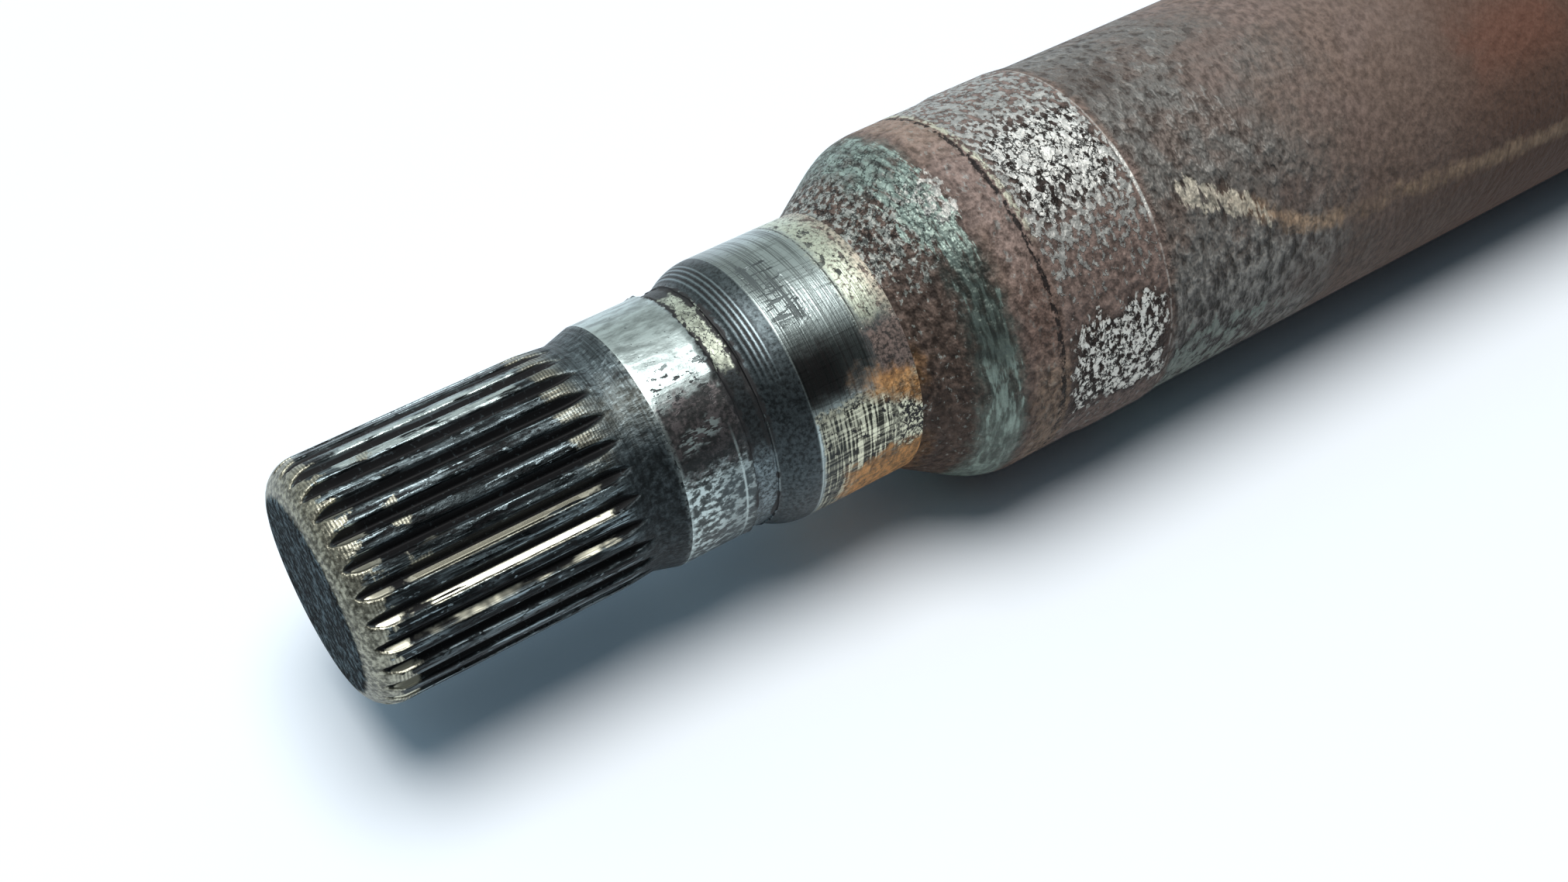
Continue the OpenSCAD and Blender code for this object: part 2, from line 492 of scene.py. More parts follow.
def oily_grooves(f, look, groove):
    """Black grooves with crumbs of grime, and one flank rubbed bright at the tips and in a band low on the
    side, kept to that band as a painted reflection.
    """
    dark = f.spread(groove, 0.1, 0.42)
    f.coat(dark, look.oil_black, metal=0.0, rough=0.55)
    crumb = f.spread(f.grain(0.25, detail=3.0, seed=9), 0.6, 0.7)
    f.coat(f.times(crumb, dark), f.lit(look.dark_steel, 1.2), metal=0.3, rough=0.5, share=0.6)
    rub = f.spread(f.grain(0.5, (10, 1, 1), detail=3.0, rough=0.5, seed=10), 0.36, 0.43)
    # Painted reflection: the bright rubbed flank is kept to this band low on the side, where the flanks
    # catch a reflection.
    low = f.band(f.wobble(f.angle, 5.0, 26.0, 11), 14.0, 46.0, 5.0)
    run = f.band(f.wobble(f.along, 2.0, 9.0, 12), 7.0, 29.0, 1.0)
    tip = f.band(f.wobble(f.along, 1.0, 3.0, 13), 0.5, 5.0, 0.5)
    bright = f.either(f.times(rub, low, run), f.times(tip, 0.8))
    flank = f.spread(f.mask("flank"), 0.05, 0.4)
    f.coat(f.times(flank, bright), f.lit(look.nose_steel, 2.5), metal=1.0, rough=0.26)


def nose_and_face(f, look, land):
    """Dusty turned nose and dark, gritty end face. Gives the mask of the face."""
    nose = f.spread(f.wobble(f.along, 0.7, 1.6, 14), 3.4, 1.6)
    dust = f.grain(0.28, detail=4.0, seed=15)
    dusty = f.shades(dust, look.nose_steel, (0.38, 0.25), (0.5, 0.62), (0.62, 1.25))
    f.coat(f.times(nose, land), dusty, metal=0.85, rough=0.4)
    face = f.spread(f.wobble(f.radius, 0.9, 1.0, 16), 11.9, 11.2)
    face = f.times(face, f.spread(f.along, 2.0, 0.8))
    grit = f.grain(0.45, detail=4.0, rough=0.7, seed=26)
    gritty = f.shades(grit, look.dark_steel, (0.42, 0.12), (0.5, 0.9), (0.62, 5.0))
    f.coat(face, gritty, metal=0.0, rough=0.7)
    f.raise_by(f.times(face, f.grain(0.4, detail=1.0, seed=25)), 0.35)
    return face


def oiled_neck(f, look, land, fleck):
    """Neck and cone behind the teeth: turned lines and specks, olive at the side and sooty below."""
    neck = f.times(f.spread(f.wobble(f.along, 0.8, 1.4, 18), 31.0, 33.4), land)
    line = f.grain(0.12, (1, 50, 50), detail=2.0, seed=19)
    speck = f.grain(0.34, detail=4.0, rough=0.65, seed=17)
    f.coat(neck, f.shades(line, look.dark_steel, (0.4, 1.0), (0.6, 2.4)), metal=0.75, rough=0.46)
    f.coat(f.times(neck, f.spread(speck, 0.52, 0.42)), f.lit(look.dark_steel, 0.7), share=0.45)
    f.raise_by(f.times(neck, line), 0.03)
    oily = f.times(neck, f.spread(fleck, 0.46, 0.38))
    f.coat(oily, look.oil_black, metal=0.2, rough=0.55, share=0.6)
    pale = f.times(neck, f.spread(fleck, 0.56, 0.66))
    f.coat(pale, f.lit(look.dark_steel, 5.0), metal=0.9, rough=0.4, share=0.5)
    olive = f.times(neck, f.band(f.wobble(f.angle, 2.0, 26.0, 20), 56.0, 78.0, 12.0))
    f.coat(olive, f.lit(look.nose_steel, 0.55), metal=0.8, rough=0.42, share=0.25)
    sooty = f.times(neck, f.spread(f.wobble(f.angle, 2.0, 34.0, 21), 60.0, 36.0))
    soot = f.shades(speck, look.dark_steel, (0.4, 0.15), (0.52, 0.45), (0.64, 1.2))
    f.coat(sooty, soot, metal=0.5, rough=0.5, share=0.9)
    f.raise_by(f.times(sooty, speck), 0.08)
    rear = f.times(f.spread(f.along, 37.6, 38.1), f.spread(f.grain(0.3, seed=22), 0.42, 0.55))
    f.coat(rear, f.lit(look.bright_steel, 0.6), metal=0.95, rough=0.34, share=0.4)


def journal_steel(look, sizes):
    """Bearing seat, relief groove, lead-in and seal track: ground steel with scoring, stains and pits."""
    f = Finish("journal_steel", look.bright_steel, metal=1.0, rough=0.28)
    seat_end = (sizes.bearing_start + sizes.bearing_length) / MM
    relief_end = seat_end + sizes.relief_width / MM
    track_start = sizes.seal_start / MM
    seat = f.spread(f.along, seat_end + 0.15, seat_end - 0.1)
    relief = f.band(f.along, seat_end - 0.05, relief_end + 0.1, 0.08)
    lead = f.band(f.along, relief_end + 0.15, track_start - 0.1, 0.2)
    track = f.spread(f.along, track_start - 0.1, track_start + 0.1)
    fine = f.grain(0.24, detail=4.0, rough=0.68, seed=21)
    hair = f.grain(0.13, (18, 1, 1), detail=2.0, seed=23, turn=(0.0, 0.35, 0.5))
    f.coat(f.spread(hair, 0.55, 0.66), f.lit(look.bright_steel, 0.45), share=0.7)
    f.raise_by(hair, 0.01)
    stained_seat(f, look, seat, fine)
    scaled_seat(f, look, seat, fine)
    oily_relief(f, look, relief, fine)
    ringed_lead_in(f, look, lead, fine)
    scored_track(f, look, track)
    dry_track(f, look, fine)
    woven_track(f, look, track, fine)
    orange_seep(f, look, track)
    torn_grime(f, look)
    f.raise_by(fine, 0.02)
    return f.close()


def stained_seat(f, look, seat, fine):
    """Bearing seat: swirled and bright on top, stained at the side under painted dark reflection, with a
    band of painted shade lower on the side, pocks and slanting dashes.
    """
    top = f.spread(f.wobble(f.angle, 1.6, 26.0, 24), 58.0, 76.0)
    swirl = f.grain(0.5, (3, 1, 1), detail=4.0, rough=0.65, seed=25, turn=(0.0, 0.5, 0.7))
    ground = f.shades(swirl, look.bright_steel, (0.4, 0.6), (0.6, 1.3))
    f.coat(f.times(seat, top), ground, metal=0.95, rough=0.36, share=0.85)
    f.raise_by(f.times(seat, swirl), 0.04)
    # Partly painted dark reflection: a brown film over the whole band where the side mirrors the dark room.
    under = f.band(f.wobble(f.angle, 1.6, 22.0, 26), 22.0, 61.0, 4.0)
    film = f.shades(f.wobble(fine, 2.0, 0.8, 27), look.stain_and_shade, (0.38, 0.25), (0.5, 0.65), (0.62, 1.6))
    f.coat(f.times(seat, under), film, metal=0.8, rough=0.4, share=0.92)
    # Painted shade: darker steel in a band low on the side.
    side_shade = f.band(f.wobble(f.angle, 1.6, 10.0, 70), 27.0, 37.0, 4.0)
    f.coat(f.times(seat, side_shade), f.lit(look.dark_steel, 0.5), share=0.5)
    pock = f.spread(f.grain(0.36, (2, 1, 1), detail=3.0, seed=28), 0.59, 0.63)
    pock = f.times(seat, pock, f.band(f.wobble(f.angle, 1.2, 20.0, 29), 54.0, 74.0, 5.0))
    f.coat(pock, look.oil_black, metal=0.1, rough=0.6, share=0.9)
    f.raise_by(pock, -0.06)
    slant = f.wobble(f.sheared(42.0, -0.9), 1.0, 8.0, 31)
    dash = f.spread(f.grain(0.24, (3, 1, 1), detail=2.0, seed=30, turn=(0.0, 0.6, 0.9)), 0.5, 0.56)
    dash = f.times(dash, f.band(f.wobble(f.along, 1.0, 2.0, 71), 39.6, 44.4, 0.6))
    dash = f.times(f.shown, seat, dash, f.band(slant, 38.0, 45.0, 2.0))
    f.coat(dash, f.lit(look.bright_steel, 1.7), metal=1.0, rough=0.36, share=0.9)


def scaled_seat(f, look, seat, fine):
    """Low side of the bearing seat, dark and bright with scale, its thin hoop and a painted highlight along
    its front rim.
    """
    base = f.times(seat, f.spread(f.wobble(f.angle, 1.4, 18.0, 32), 30.0, 20.0))
    flake = f.grain(0.34, (1.5, 1, 1), detail=3.0, rough=0.58, seed=33)
    scale = f.shades(flake, look.bright_steel, (0.44, 0.05), (0.51, 0.3), (0.58, 1.25))
    f.coat(base, scale, metal=0.85, rough=0.38, share=0.92)
    f.coat(f.times(base, f.spread(f.along, 40.5, 44.0)), f.lit(look.dark_steel, 1.5), share=0.55)
    f.raise_by(f.times(base, flake), 0.2)
    hoop = f.times(f.band(f.along, 45.3, 45.55, 0.1), f.spread(f.angle, 44.0, 28.0))
    f.coat(hoop, look.bright_steel, metal=1.0, rough=0.3, share=0.8)
    # Painted highlight: brighter, smoother steel along the front rim, over the light that its rounded edge
    # catches.
    rim = f.times(f.spread(f.along, 38.75, 38.3), f.spread(fine, 0.36, 0.5))
    f.coat(rim, f.lit(look.bright_steel, 1.3), metal=1.0, rough=0.24, share=0.5)


def oily_relief(f, look, relief, fine):
    """Relief groove: dark and oily, with a dry, cracked strip on top and, low down, lighter steel that is
    painted light from the floor.
    """
    oiled = f.shades(fine, look.dark_steel, (0.38, 0.06), (0.62, 0.7))
    f.coat(relief, oiled, metal=0.4, rough=0.5)
    dry = f.times(relief, f.band(f.wobble(f.angle, 1.2, 20.0, 34), 61.0, 113.0, 3.0))
    chalk = f.grain(0.5, detail=4.0, seed=68)
    chalky = f.shades(chalk, look.chalk, (0.38, 0.35), (0.5, 0.75), (0.64, 1.05))
    f.coat(dry, chalky, metal=0.6, rough=0.4)
    f.coat(f.times(dry, f.cracks(0.5, 0.012, 66)), look.oil_black, metal=0.0, rough=0.6, share=0.9)
    # Painted light: lighter, shinier steel low down, where the floor lights the groove.
    below = f.times(relief, f.spread(f.wobble(f.angle, 1.6, 20.0, 35), 28.0, 16.0))
    lighter = f.shades(fine, look.dark_steel, (0.38, 0.4), (0.5, 2.5), (0.64, 5.0))
    f.coat(below, lighter, metal=0.7, rough=0.42)


def ringed_lead_in(f, look, lead, fine):
    """Lead-in to the seal track: turned rings, with a painted highlight on their ridges and painted shade in
    their cuts, drawn only on the upper side, and painted shade lower on the side, eased at the bottom.
    """
    oiled = f.shades(fine, look.dark_steel, (0.36, 0.6), (0.6, 2.1))
    f.coat(lead, oiled, metal=0.9, rough=0.42)
    first_ring = RINGS_FROM / MM
    last_ring = (RINGS_FROM + RING_PITCH * (RING_COUNT - 1)) / MM
    turned = f.math("SUBTRACT", f.wobble(f.along, 6.0, 0.12, 36), first_ring)
    turned = f.math("COSINE", f.math("MULTIPLY", turned, 2 * math.pi * MM / RING_PITCH))
    ringed = f.band(f.along, first_ring, last_ring, 0.3)
    # Painted light on the rings: bright ridges and black cuts are drawn only on the upper side, where the
    # light shows them.
    upside = f.spread(f.wobble(f.angle, 3.0, 20.0, 62), 36.0, 66.0)
    ridge_highlight = f.times(f.spread(turned, -0.3, -0.9), ringed, upside)
    f.coat(ridge_highlight, f.lit(look.dark_steel, 8.0), metal=1.0, rough=0.32, share=0.45)
    cut = f.times(f.spread(turned, 0.2, 0.8), ringed, upside)
    f.coat(cut, look.oil_black, metal=0.3, rough=0.5, share=0.95)
    # Painted shade: darker steel lower on the side, eased towards the bottom.
    dim = f.spread(f.wobble(f.angle, 2.0, 20.0, 37), 60.0, 46.0)
    dim = f.times(dim, f.level(f.spread(f.angle, 4.0, 24.0), 0.6, 1.0))
    shaded_steel = f.shades(fine, look.dark_steel, (0.4, 0.25), (0.6, 1.1))
    f.coat(f.times(lead, dim), shaded_steel, metal=0.7, rough=0.46, share=0.88)


def scored_track(f, look, track):
    """Seal track: scored round and hatched in one block, with painted shade over its top at its start, under
    its lit top at its start, and along its side.
    """
    score = f.grain(0.11, (1, 70, 70), detail=2.0, seed=22)
    scored = f.times(track, f.spread(score, 0.5, 0.62))
    f.coat(scored, f.lit(look.bright_steel, 0.3), metal=1.0, rough=0.34, share=0.8)
    f.raise_by(f.times(track, score), 0.03)
    deep = f.spread(f.grain(0.24, (1, 30, 30), detail=2.0, seed=67), 0.53, 0.58)
    hatch = f.either(f.spread(f.grain(0.22, (8, 1, 1), detail=2.0, seed=38), 0.55, 0.6), deep)
    block = f.band(f.wobble(f.along, 0.8, 1.2, 39), 55.0, 59.2, 0.3)
    block = f.times(f.shown, block, f.band(f.wobble(f.angle, 1.2, 14.0, 40), 66.0, 101.0, 3.0))
    hatched = f.times(block, hatch)
    f.coat(hatched, f.lit(look.dark_steel, 0.5), metal=0.6, rough=0.45, share=0.92)
    f.raise_by(hatched, -0.05)
    # Painted shade: darker steel over the top of the track's start, so that the highlight there is fainter.
    shaded = f.times(track, f.spread(f.wobble(f.along, 1.5, 2.0, 41), 60.5, 56.0))
    f.coat(f.times(shaded, f.spread(f.angle, 48.0, 58.0)), f.lit(look.bright_steel, 0.36), share=0.5)
    # Painted shade: a darker band under the lit top, at the start of the track.
    brink_shade = f.band(f.wobble(f.angle, 1.6, 10.0, 72), 54.0, 63.0, 3.0)
    brink_shade = f.times(track, f.spread(f.along, 61.0, 57.0), brink_shade)
    f.coat(brink_shade, f.lit(look.bright_steel, 0.3), share=0.55)
    # Painted shade: the dark reflection along the side, fading towards the back of the track.
    shadow = f.band(f.wobble(f.angle, 1.6, 10.0, 42), 31.0, 55.0, 5.0)
    shadow = f.times(track, shadow, f.level(f.spread(f.along, 58.0, 62.5), 1.0, 0.62))
    darkened = f.shades(score, look.stain_and_shade, (0.4, 0.12), (0.62, 0.6))
    f.coat(shadow, darkened, metal=0.95, rough=0.3, share=0.9)


def dry_track(f, look, fine):
    """Back of the seal track: dry and gouged on top, crusted at the shoulder, reddish at the side."""
    rear = f.spread(f.wobble(f.along, 1.0, 1.6, 43), 63.0, 64.8)
    top = f.spread(f.wobble(f.angle, 1.5, 14.0, 44), 50.0, 58.0)
    dry = f.times(rear, top)
    f.coat(dry, f.shades(fine, look.chalk, (0.36, 0.6), (0.58, 1.15)), metal=0.8, rough=0.36)
    fleck = f.times(dry, f.spread(fine, 0.46, 0.38))
    f.coat(fleck, f.lit(look.rust, 0.6), metal=0.3, rough=0.5, share=0.75)
    gouge = f.times(dry, f.spread(f.grain(0.48, (1, 2, 2), detail=4.0, seed=45), 0.57, 0.6))
    f.coat(gouge, look.oil_black, metal=0.0, rough=0.6, share=0.9)
    f.raise_by(gouge, -0.12)
    crust = f.times(f.spread(f.wobble(f.along, 0.6, 3.0, 47), 65.8, 68.3), top)
    crusted = f.shades(fine, look.rust, (0.4, 0.4), (0.6, 2.8))
    f.coat(crust, crusted, metal=0.4, rough=0.5, share=0.6)
    scribe = f.times(f.band(f.along, 63.65, 63.85, 0.08), top, f.spread(fine, 0.4, 0.5))
    f.coat(scribe, look.oil_black, metal=0.4, rough=0.5, share=0.9)
    side = f.times(rear, f.spread(f.wobble(f.angle, 1.3, 14.0, 48), 57.0, 48.0))
    reddish = f.shades(fine, look.red_rust, (0.4, 0.2), (0.6, 1.5))
    f.coat(side, reddish, metal=0.3, rough=0.55, share=0.9)


def woven_track(f, look, track, fine):
    """Low patch of the seal track, scratched both ways like cloth, crumbly behind, under a pale lip."""
    low = f.times(f.shown, track, f.spread(f.wobble(f.angle, 1.0, 10.0, 49), 28.0, 25.5))
    low = f.times(low, f.spread(f.wobble(f.along, 0.6, 0.8, 50), 54.7, 55.2))
    warp = f.spread(f.grain(0.2, (1, 14, 14), detail=3.0, seed=51), 0.46, 0.56)
    weft = f.spread(f.grain(0.2, (14, 1, 1), detail=3.0, seed=52), 0.46, 0.56)
    weave = f.math("ADD", f.math("MULTIPLY", warp, 0.6), f.math("MULTIPLY", weft, 0.4))
    woven = f.shades(weave, look.cream, (0.1, 0.04), (0.4, 0.35), (0.8, 1.3))
    f.coat(low, woven, metal=0.85, rough=0.38)
    f.raise_by(f.times(low, weave), 0.06)
    f.coat(f.times(low, f.spread(f.along, 60.5, 56.0)), f.lit(look.dark_steel, 0.8), share=0.4)
    crumbly = f.times(low, f.spread(f.wobble(f.along, 0.8, 3.0, 53), 64.0, 66.0))
    crumbs = f.shades(fine, look.cream, (0.41, 0.15), (0.49, 1.1), (0.56, 1.5))
    f.coat(crumbly, crumbs, metal=0.6, rough=0.44)
    chip = f.spread(f.grain(0.45, detail=3.0, seed=54), 0.61, 0.64)
    chip = f.times(low, f.either(chip, f.times(crumbly, f.cracks(0.6, 0.022, 55))))
    f.coat(chip, look.oil_black, metal=0.1, rough=0.6)
    f.raise_by(chip, -0.1)
    lip = f.times(f.shown, track, f.band(f.wobble(f.angle, 0.8, 8.0, 56), 25.5, 28.5, 1.0))
    f.coat(lip, f.shades(fine, look.cream, (0.42, 0.05), (0.52, 0.95)), metal=0.3, rough=0.5, share=0.85)


def orange_seep(f, look, track):
    """Orange rust over the back of the seal track, above the woven patch and low down on it, where it is
    lightened as painted light from the floor.
    """
    upper = f.band(f.wobble(f.sheared(61.0, 1.6), 1.6, 14.0, 57), 27.5, 40.0, 4.0)
    upper = f.times(upper, f.spread(f.wobble(f.along, 1.6, 6.0, 58), 59.0, 65.0))
    lower = f.spread(f.wobble(f.angle, 1.6, 18.0, 59), -1.0, -9.0)
    lower = f.times(lower, f.spread(f.wobble(f.along, 1.6, 5.0, 60), 57.0, 61.0))
    lower = f.times(f.shown, track, lower)
    seep = f.either(f.times(f.shown, track, upper), lower)
    rusty = f.grain(0.5, (1, 1.4, 1.4), detail=5.0, rough=0.66, seed=73)
    orange = f.shades(rusty, look.orange_rust, (0.34, 0.3), (0.47, 1.0), (0.6, 2.1))
    f.coat(seep, orange, metal=0.0, rough=0.65, share=0.88)
    # Painted light: the low orange is made lighter and a little metallic, as if lit by the floor.
    lighter = f.shades(rusty, look.orange_rust, (0.36, 0.6), (0.48, 1.6), (0.6, 2.6))
    f.coat(lower, lighter, metal=0.4, rough=0.5, share=0.8)
    f.raise_by(f.times(seep, f.grain(0.4, detail=1.0, seed=63)), 0.25)


def torn_grime(f, look):
    """Black grime with torn edges at both sides of the relief groove, and black pits all over."""
    torn = f.wobble(f.along, 0.8, 1.2, 69)
    edge = f.either(f.band(torn, 46.6, 47.4, 0.15), f.band(torn, 49.1, 50.1, 0.15))
    ragged = f.times(edge, f.spread(f.grain(0.4, (1, 1.6, 1.6), detail=3.0, seed=64), 0.4, 0.45))
    ragged = f.times(ragged, f.spread(f.wobble(f.angle, 2.0, 20.0, 65), 16.0, 34.0))
    grime = f.either(ragged, f.spread(f.mask("grime"), 0.2, 0.5))
    f.coat(grime, look.oil_black, metal=0.0, rough=0.6)
    pit = f.spread(f.grain(0.2, detail=2.0, seed=61), 0.68, 0.72)
    f.coat(pit, look.oil_black, metal=0.1, rough=0.6, share=0.85)


def rusted_steel(look):
    """Shoulder, collar and body: brown rust with a blue-green film, white flakes and a pale run."""
    f = Finish("rusted_steel", look.rust, metal=0.05, rough=0.6)
    relief = f.grain(0.42, (1, 1.4, 1.4), detail=2.0, rough=0.5, seed=70)
    fine = f.grain(0.42, (1, 1.4, 1.4), detail=4.0, rough=0.62, seed=70)
    chip = f.grain(0.36, (1, 1.5, 1.5), detail=4.0, rough=0.57, seed=72)
    craze = f.cracks(0.6, 0.016, 73)
    cloud = f.grain(4.0, detail=4.0, seed=74)
    # fine shares its size and seed with the relief, so the rust's shades fall darker in the relief's hollows
    # and lighter on its tops: painted shade and light over the rust's own tone.
    f.colour = f.shades(fine, look.rust, (0.36, 0.5), (0.5, 1.0), (0.64, 1.5))
    reddish = f.shades(fine, look.red_rust, (0.36, 0.55), (0.5, 1.0), (0.64, 1.4))
    f.coat(f.spread(cloud, 0.44, 0.58), reddish, share=0.8)
    f.raise_by(relief, 0.6)
    cone, high = crumbly_cone(f, look, fine)
    blue_green_film(f, look, high, fine, chip)
    f.coat(f.times(craze, cone, high), look.oil_black, metal=0.0, rough=0.6, share=0.75)
    reddish_land(f, look, fine, chip)
    flaked_collar(f, look, fine, chip, craze)
    collar_edges(f, look, fine, chip)
    body = f.spread(f.wobble(f.along, 2.0, 2.5, 92), 100.5, 102.4)
    scab = f.grain(0.55, (1, 1.7, 1.7), detail=4.0, rough=0.6, seed=102)
    f.raise_by(f.times(body, relief), -0.4)
    rusted_body(f, look, body, fine, scab, cloud)
    pale_run(f, look, fine)
    body_marks(f, look, body, fine, scab)
    f.raise_by(f.grain(1.6, detail=1.0, seed=100), 0.25)
    return f.close(0.15)


def crumbly_cone(f, look, fine):
    """Cone of the shoulder: dark rust, lighter low down as painted light from the floor, grey crumbs and an
    orange leak at its foot. Gives the masks of the cone and of its top side."""
    cone = f.spread(f.wobble(f.along, 1.5, 4.0, 75), 80.5, 76.5)
    high = f.spread(f.wobble(f.angle, 2.0, 24.0, 76), 50.0, 72.0)
    dark = f.shades(fine, look.rust, (0.36, 0.15), (0.52, 0.5), (0.66, 1.1))
    f.coat(cone, dark, share=0.9)
    # Painted light: lighter rust at the bottom of the cone, where the floor lights it.
    lighter = f.shades(fine, look.rust, (0.36, 0.5), (0.64, 1.4))
    f.coat(f.times(cone, f.spread(f.angle, 16.0, -2.0)), lighter, share=0.6)
    crumb = f.grain(0.3, (1, 1.4, 1.4), detail=4.0, rough=0.6, seed=111)
    crumbs = f.flakes(crumb, f.times(cone, f.level(high, 0.42, 0.78)))
    grey = f.shade(0.35, f.shades(fine, look.flake, (0.36, 0.25), (0.6, 0.75)), look.patina)
    f.coat(crumbs, grey, metal=0.3, rough=0.45, share=0.8)
    leak = f.band(f.wobble(f.angle, 1.6, 12.0, 112), 20.0, 36.0, 4.0)
    leak = f.either(leak, f.spread(f.angle, 0.0, -8.0))
    leak = f.times(f.shown, leak, f.spread(f.wobble(f.along, 1.2, 3.0, 113), 70.4, 68.8))
    orange = f.shades(fine, look.orange_rust, (0.36, 0.25), (0.5, 0.7), (0.64, 1.4))
    f.coat(leak, orange, share=0.45)
    return cone, high


def blue_green_film(f, look, high, fine, chip):
    """Film round the top of the cone: flaky and painted bright where it is lit, with painted shade at the
    side and behind, painted floor light low down, and whitish flakes as painted glints in the lit band.
    """
    ragged = f.wobble(f.along, 1.6, 3.0, 77)
    film = f.either(f.band(ragged, 74.4, 78.8, 1.4), f.times(high, f.band(ragged, 73.2, 76.0, 1.4)))
    drawn = f.grain(0.32, (1, 5, 5), detail=4.0, seed=78)
    # Painted highlight: the film is lighter and flakier in the lit band.
    lit = f.band(f.wobble(f.angle, 3.0, 16.0, 79), 64.0, 95.0, 7.0)
    flaky = f.flakes(drawn, f.times(film, f.level(lit, 0.8, 1.1)))
    teal = f.shades(drawn, look.patina, (0.36, 0.4), (0.5, 0.9), (0.62, 1.6))
    f.coat(flaky, teal, metal=0.3, rough=0.42, share=0.92)
    # Painted shade: darker film at the side and behind the top.
    behind = f.spread(f.wobble(f.angle, 3.0, 14.0, 108), 90.0, 104.0)
    dim = f.times(film, f.either(f.spread(f.angle, 46.0, 26.0), behind))
    f.coat(dim, f.shades(drawn, look.patina, (0.36, 0.2), (0.62, 1.0)), share=0.7)
    # Painted light: lighter, a little metallic film low down, where the floor lights it.
    low = f.times(film, f.spread(f.angle, 12.0, -2.0))
    f.coat(low, f.shades(drawn, look.patina, (0.36, 0.5), (0.62, 1.5)), metal=0.4, rough=0.42, share=0.7)
    # Painted shade: very dark film in the band where the side mirrors the dark room.
    side = f.times(film, f.band(f.wobble(f.angle, 3.0, 14.0, 80), 23.0, 61.0, 7.0))
    f.coat(side, f.shades(drawn, look.patina, (0.38, 0.1), (0.62, 0.3)), metal=0.3, rough=0.45, share=0.85)
    # Painted glints: whitish flakes in the lit band.
    pale = f.band(f.wobble(f.along, 1.2, 3.0, 81), 75.6, 80.0, 1.0)
    pale = f.times(pale, f.band(f.wobble(f.angle, 3.0, 14.0, 82), 66.0, 90.0, 7.0))
    whitish = f.shades(fine, look.flake, (0.36, 0.4), (0.6, 0.8))
    f.coat(f.flakes(chip, f.times(pale, 0.78)), whitish, metal=0.3, rough=0.45, share=0.85)


def reddish_land(f, look, fine, chip):
    """Land behind the cone: reddish rust with sparse flakes, tan behind, with painted shade at the side and
    lighter tan low down as painted light from the floor.
    """
    land = f.band(f.wobble(f.along, 1.6, 3.0, 83), 80.4, 85.0, 1.0)
    reddish = f.shades(fine, look.red_rust, (0.36, 0.5), (0.5, 1.25), (0.64, 1.9))
    f.coat(land, reddish, share=0.85)
    grey = f.shades(fine, look.flake, (0.36, 0.2), (0.6, 0.5))
    f.coat(f.flakes(chip, f.times(land, 0.52)), grey, metal=0.2, rough=0.5, share=0.7)
    behind = f.times(land, f.spread(f.wobble(f.angle, 3.0, 20.0, 84), 84.0, 106.0))
    f.coat(behind, look.tan, share=0.3)
    # Painted shade: darker rust along the side.
    side = f.times(land, f.band(f.angle, 18.0, 46.0, 8.0))
    f.coat(side, f.shades(fine, look.deep_rust, (0.36, 0.6), (0.64, 1.4)), share=0.5)
    # Painted light: lighter tan low down, where the floor lights the land.
    dusty = f.band(f.wobble(f.along, 1.6, 3.0, 105), 80.5, 88.0, 1.0)
    dusty = f.times(dusty, f.spread(f.wobble(f.angle, 2.0, 14.0, 106), 24.0, 8.0))
    f.coat(dusty, f.shades(fine, look.tan, (0.4, 0.4), (0.6, 1.6)), share=0.5)


def flaked_collar(f, look, fine, chip, craze):
    """Rear of the land, and collar: flakes over red rust, thickest in two patches with dark gaps, painted
    white in the lit upper patch and the floor-lit lower one, and grey as painted shade between.
    """
    collar = f.band(f.wobble(f.along, 0.8, 1.4, 85), 85.4, 100.5, 0.25)
    reddish = f.shades(fine, look.red_rust, (0.36, 0.5), (0.5, 1.0), (0.64, 1.6))
    f.coat(collar, reddish, metal=0.1, rough=0.55, share=0.9)
    inner = f.band(f.wobble(f.along, 1.5, 4.0, 86), 86.6, 99.6, 1.2)
    # The two patches lie where the light and the floor's reflection fall: their white flakes are partly
    # painted light.
    upper = f.times(f.shown, inner, f.band(f.wobble(f.angle, 3.0, 24.0, 87), 57.0, 92.0, 9.0))
    lower = f.band(f.wobble(f.angle, 3.0, 24.0, 88), -12.0, 24.0, 4.0)
    lower = f.times(f.shown, lower, f.level(inner, 0.5, 0.86))
    worn = f.either(upper, lower)
    sparse = f.level(f.spread(f.angle, 26.0, 54.0), 0.48, 0.85)
    flake = f.flakes(chip, f.times(collar, f.either(worn, sparse)), soft=0.035)
    soot = f.lit(look.rust, 0.08)
    gap = f.times(collar, worn, f.math("SUBTRACT", 1.0, flake))
    f.coat(gap, soot, metal=0.0, rough=0.65, share=0.95)
    # Painted shade: greyer flakes outside the two lit patches.
    shaded = f.shades(fine, look.flake, (0.36, 0.3), (0.6, 0.55))
    white = f.shades(fine, look.flake, (0.36, 0.6), (0.56, 1.0))
    f.coat(flake, f.shade(worn, shaded, white), metal=0.2, rough=0.45)
    # Painted light: the low patch's flakes made lighter and more metallic, as if lit by the floor.
    f.coat(f.times(flake, lower), f.lit(look.flake, 1.2), metal=0.5, rough=0.45, share=0.9)
    f.raise_by(flake, 0.14)
    split = f.times(craze, collar, f.spread(worn, 0.4, 0.9))
    f.coat(split, soot, metal=0.0, rough=0.65, share=0.9)
    f.raise_by(split, -0.1)


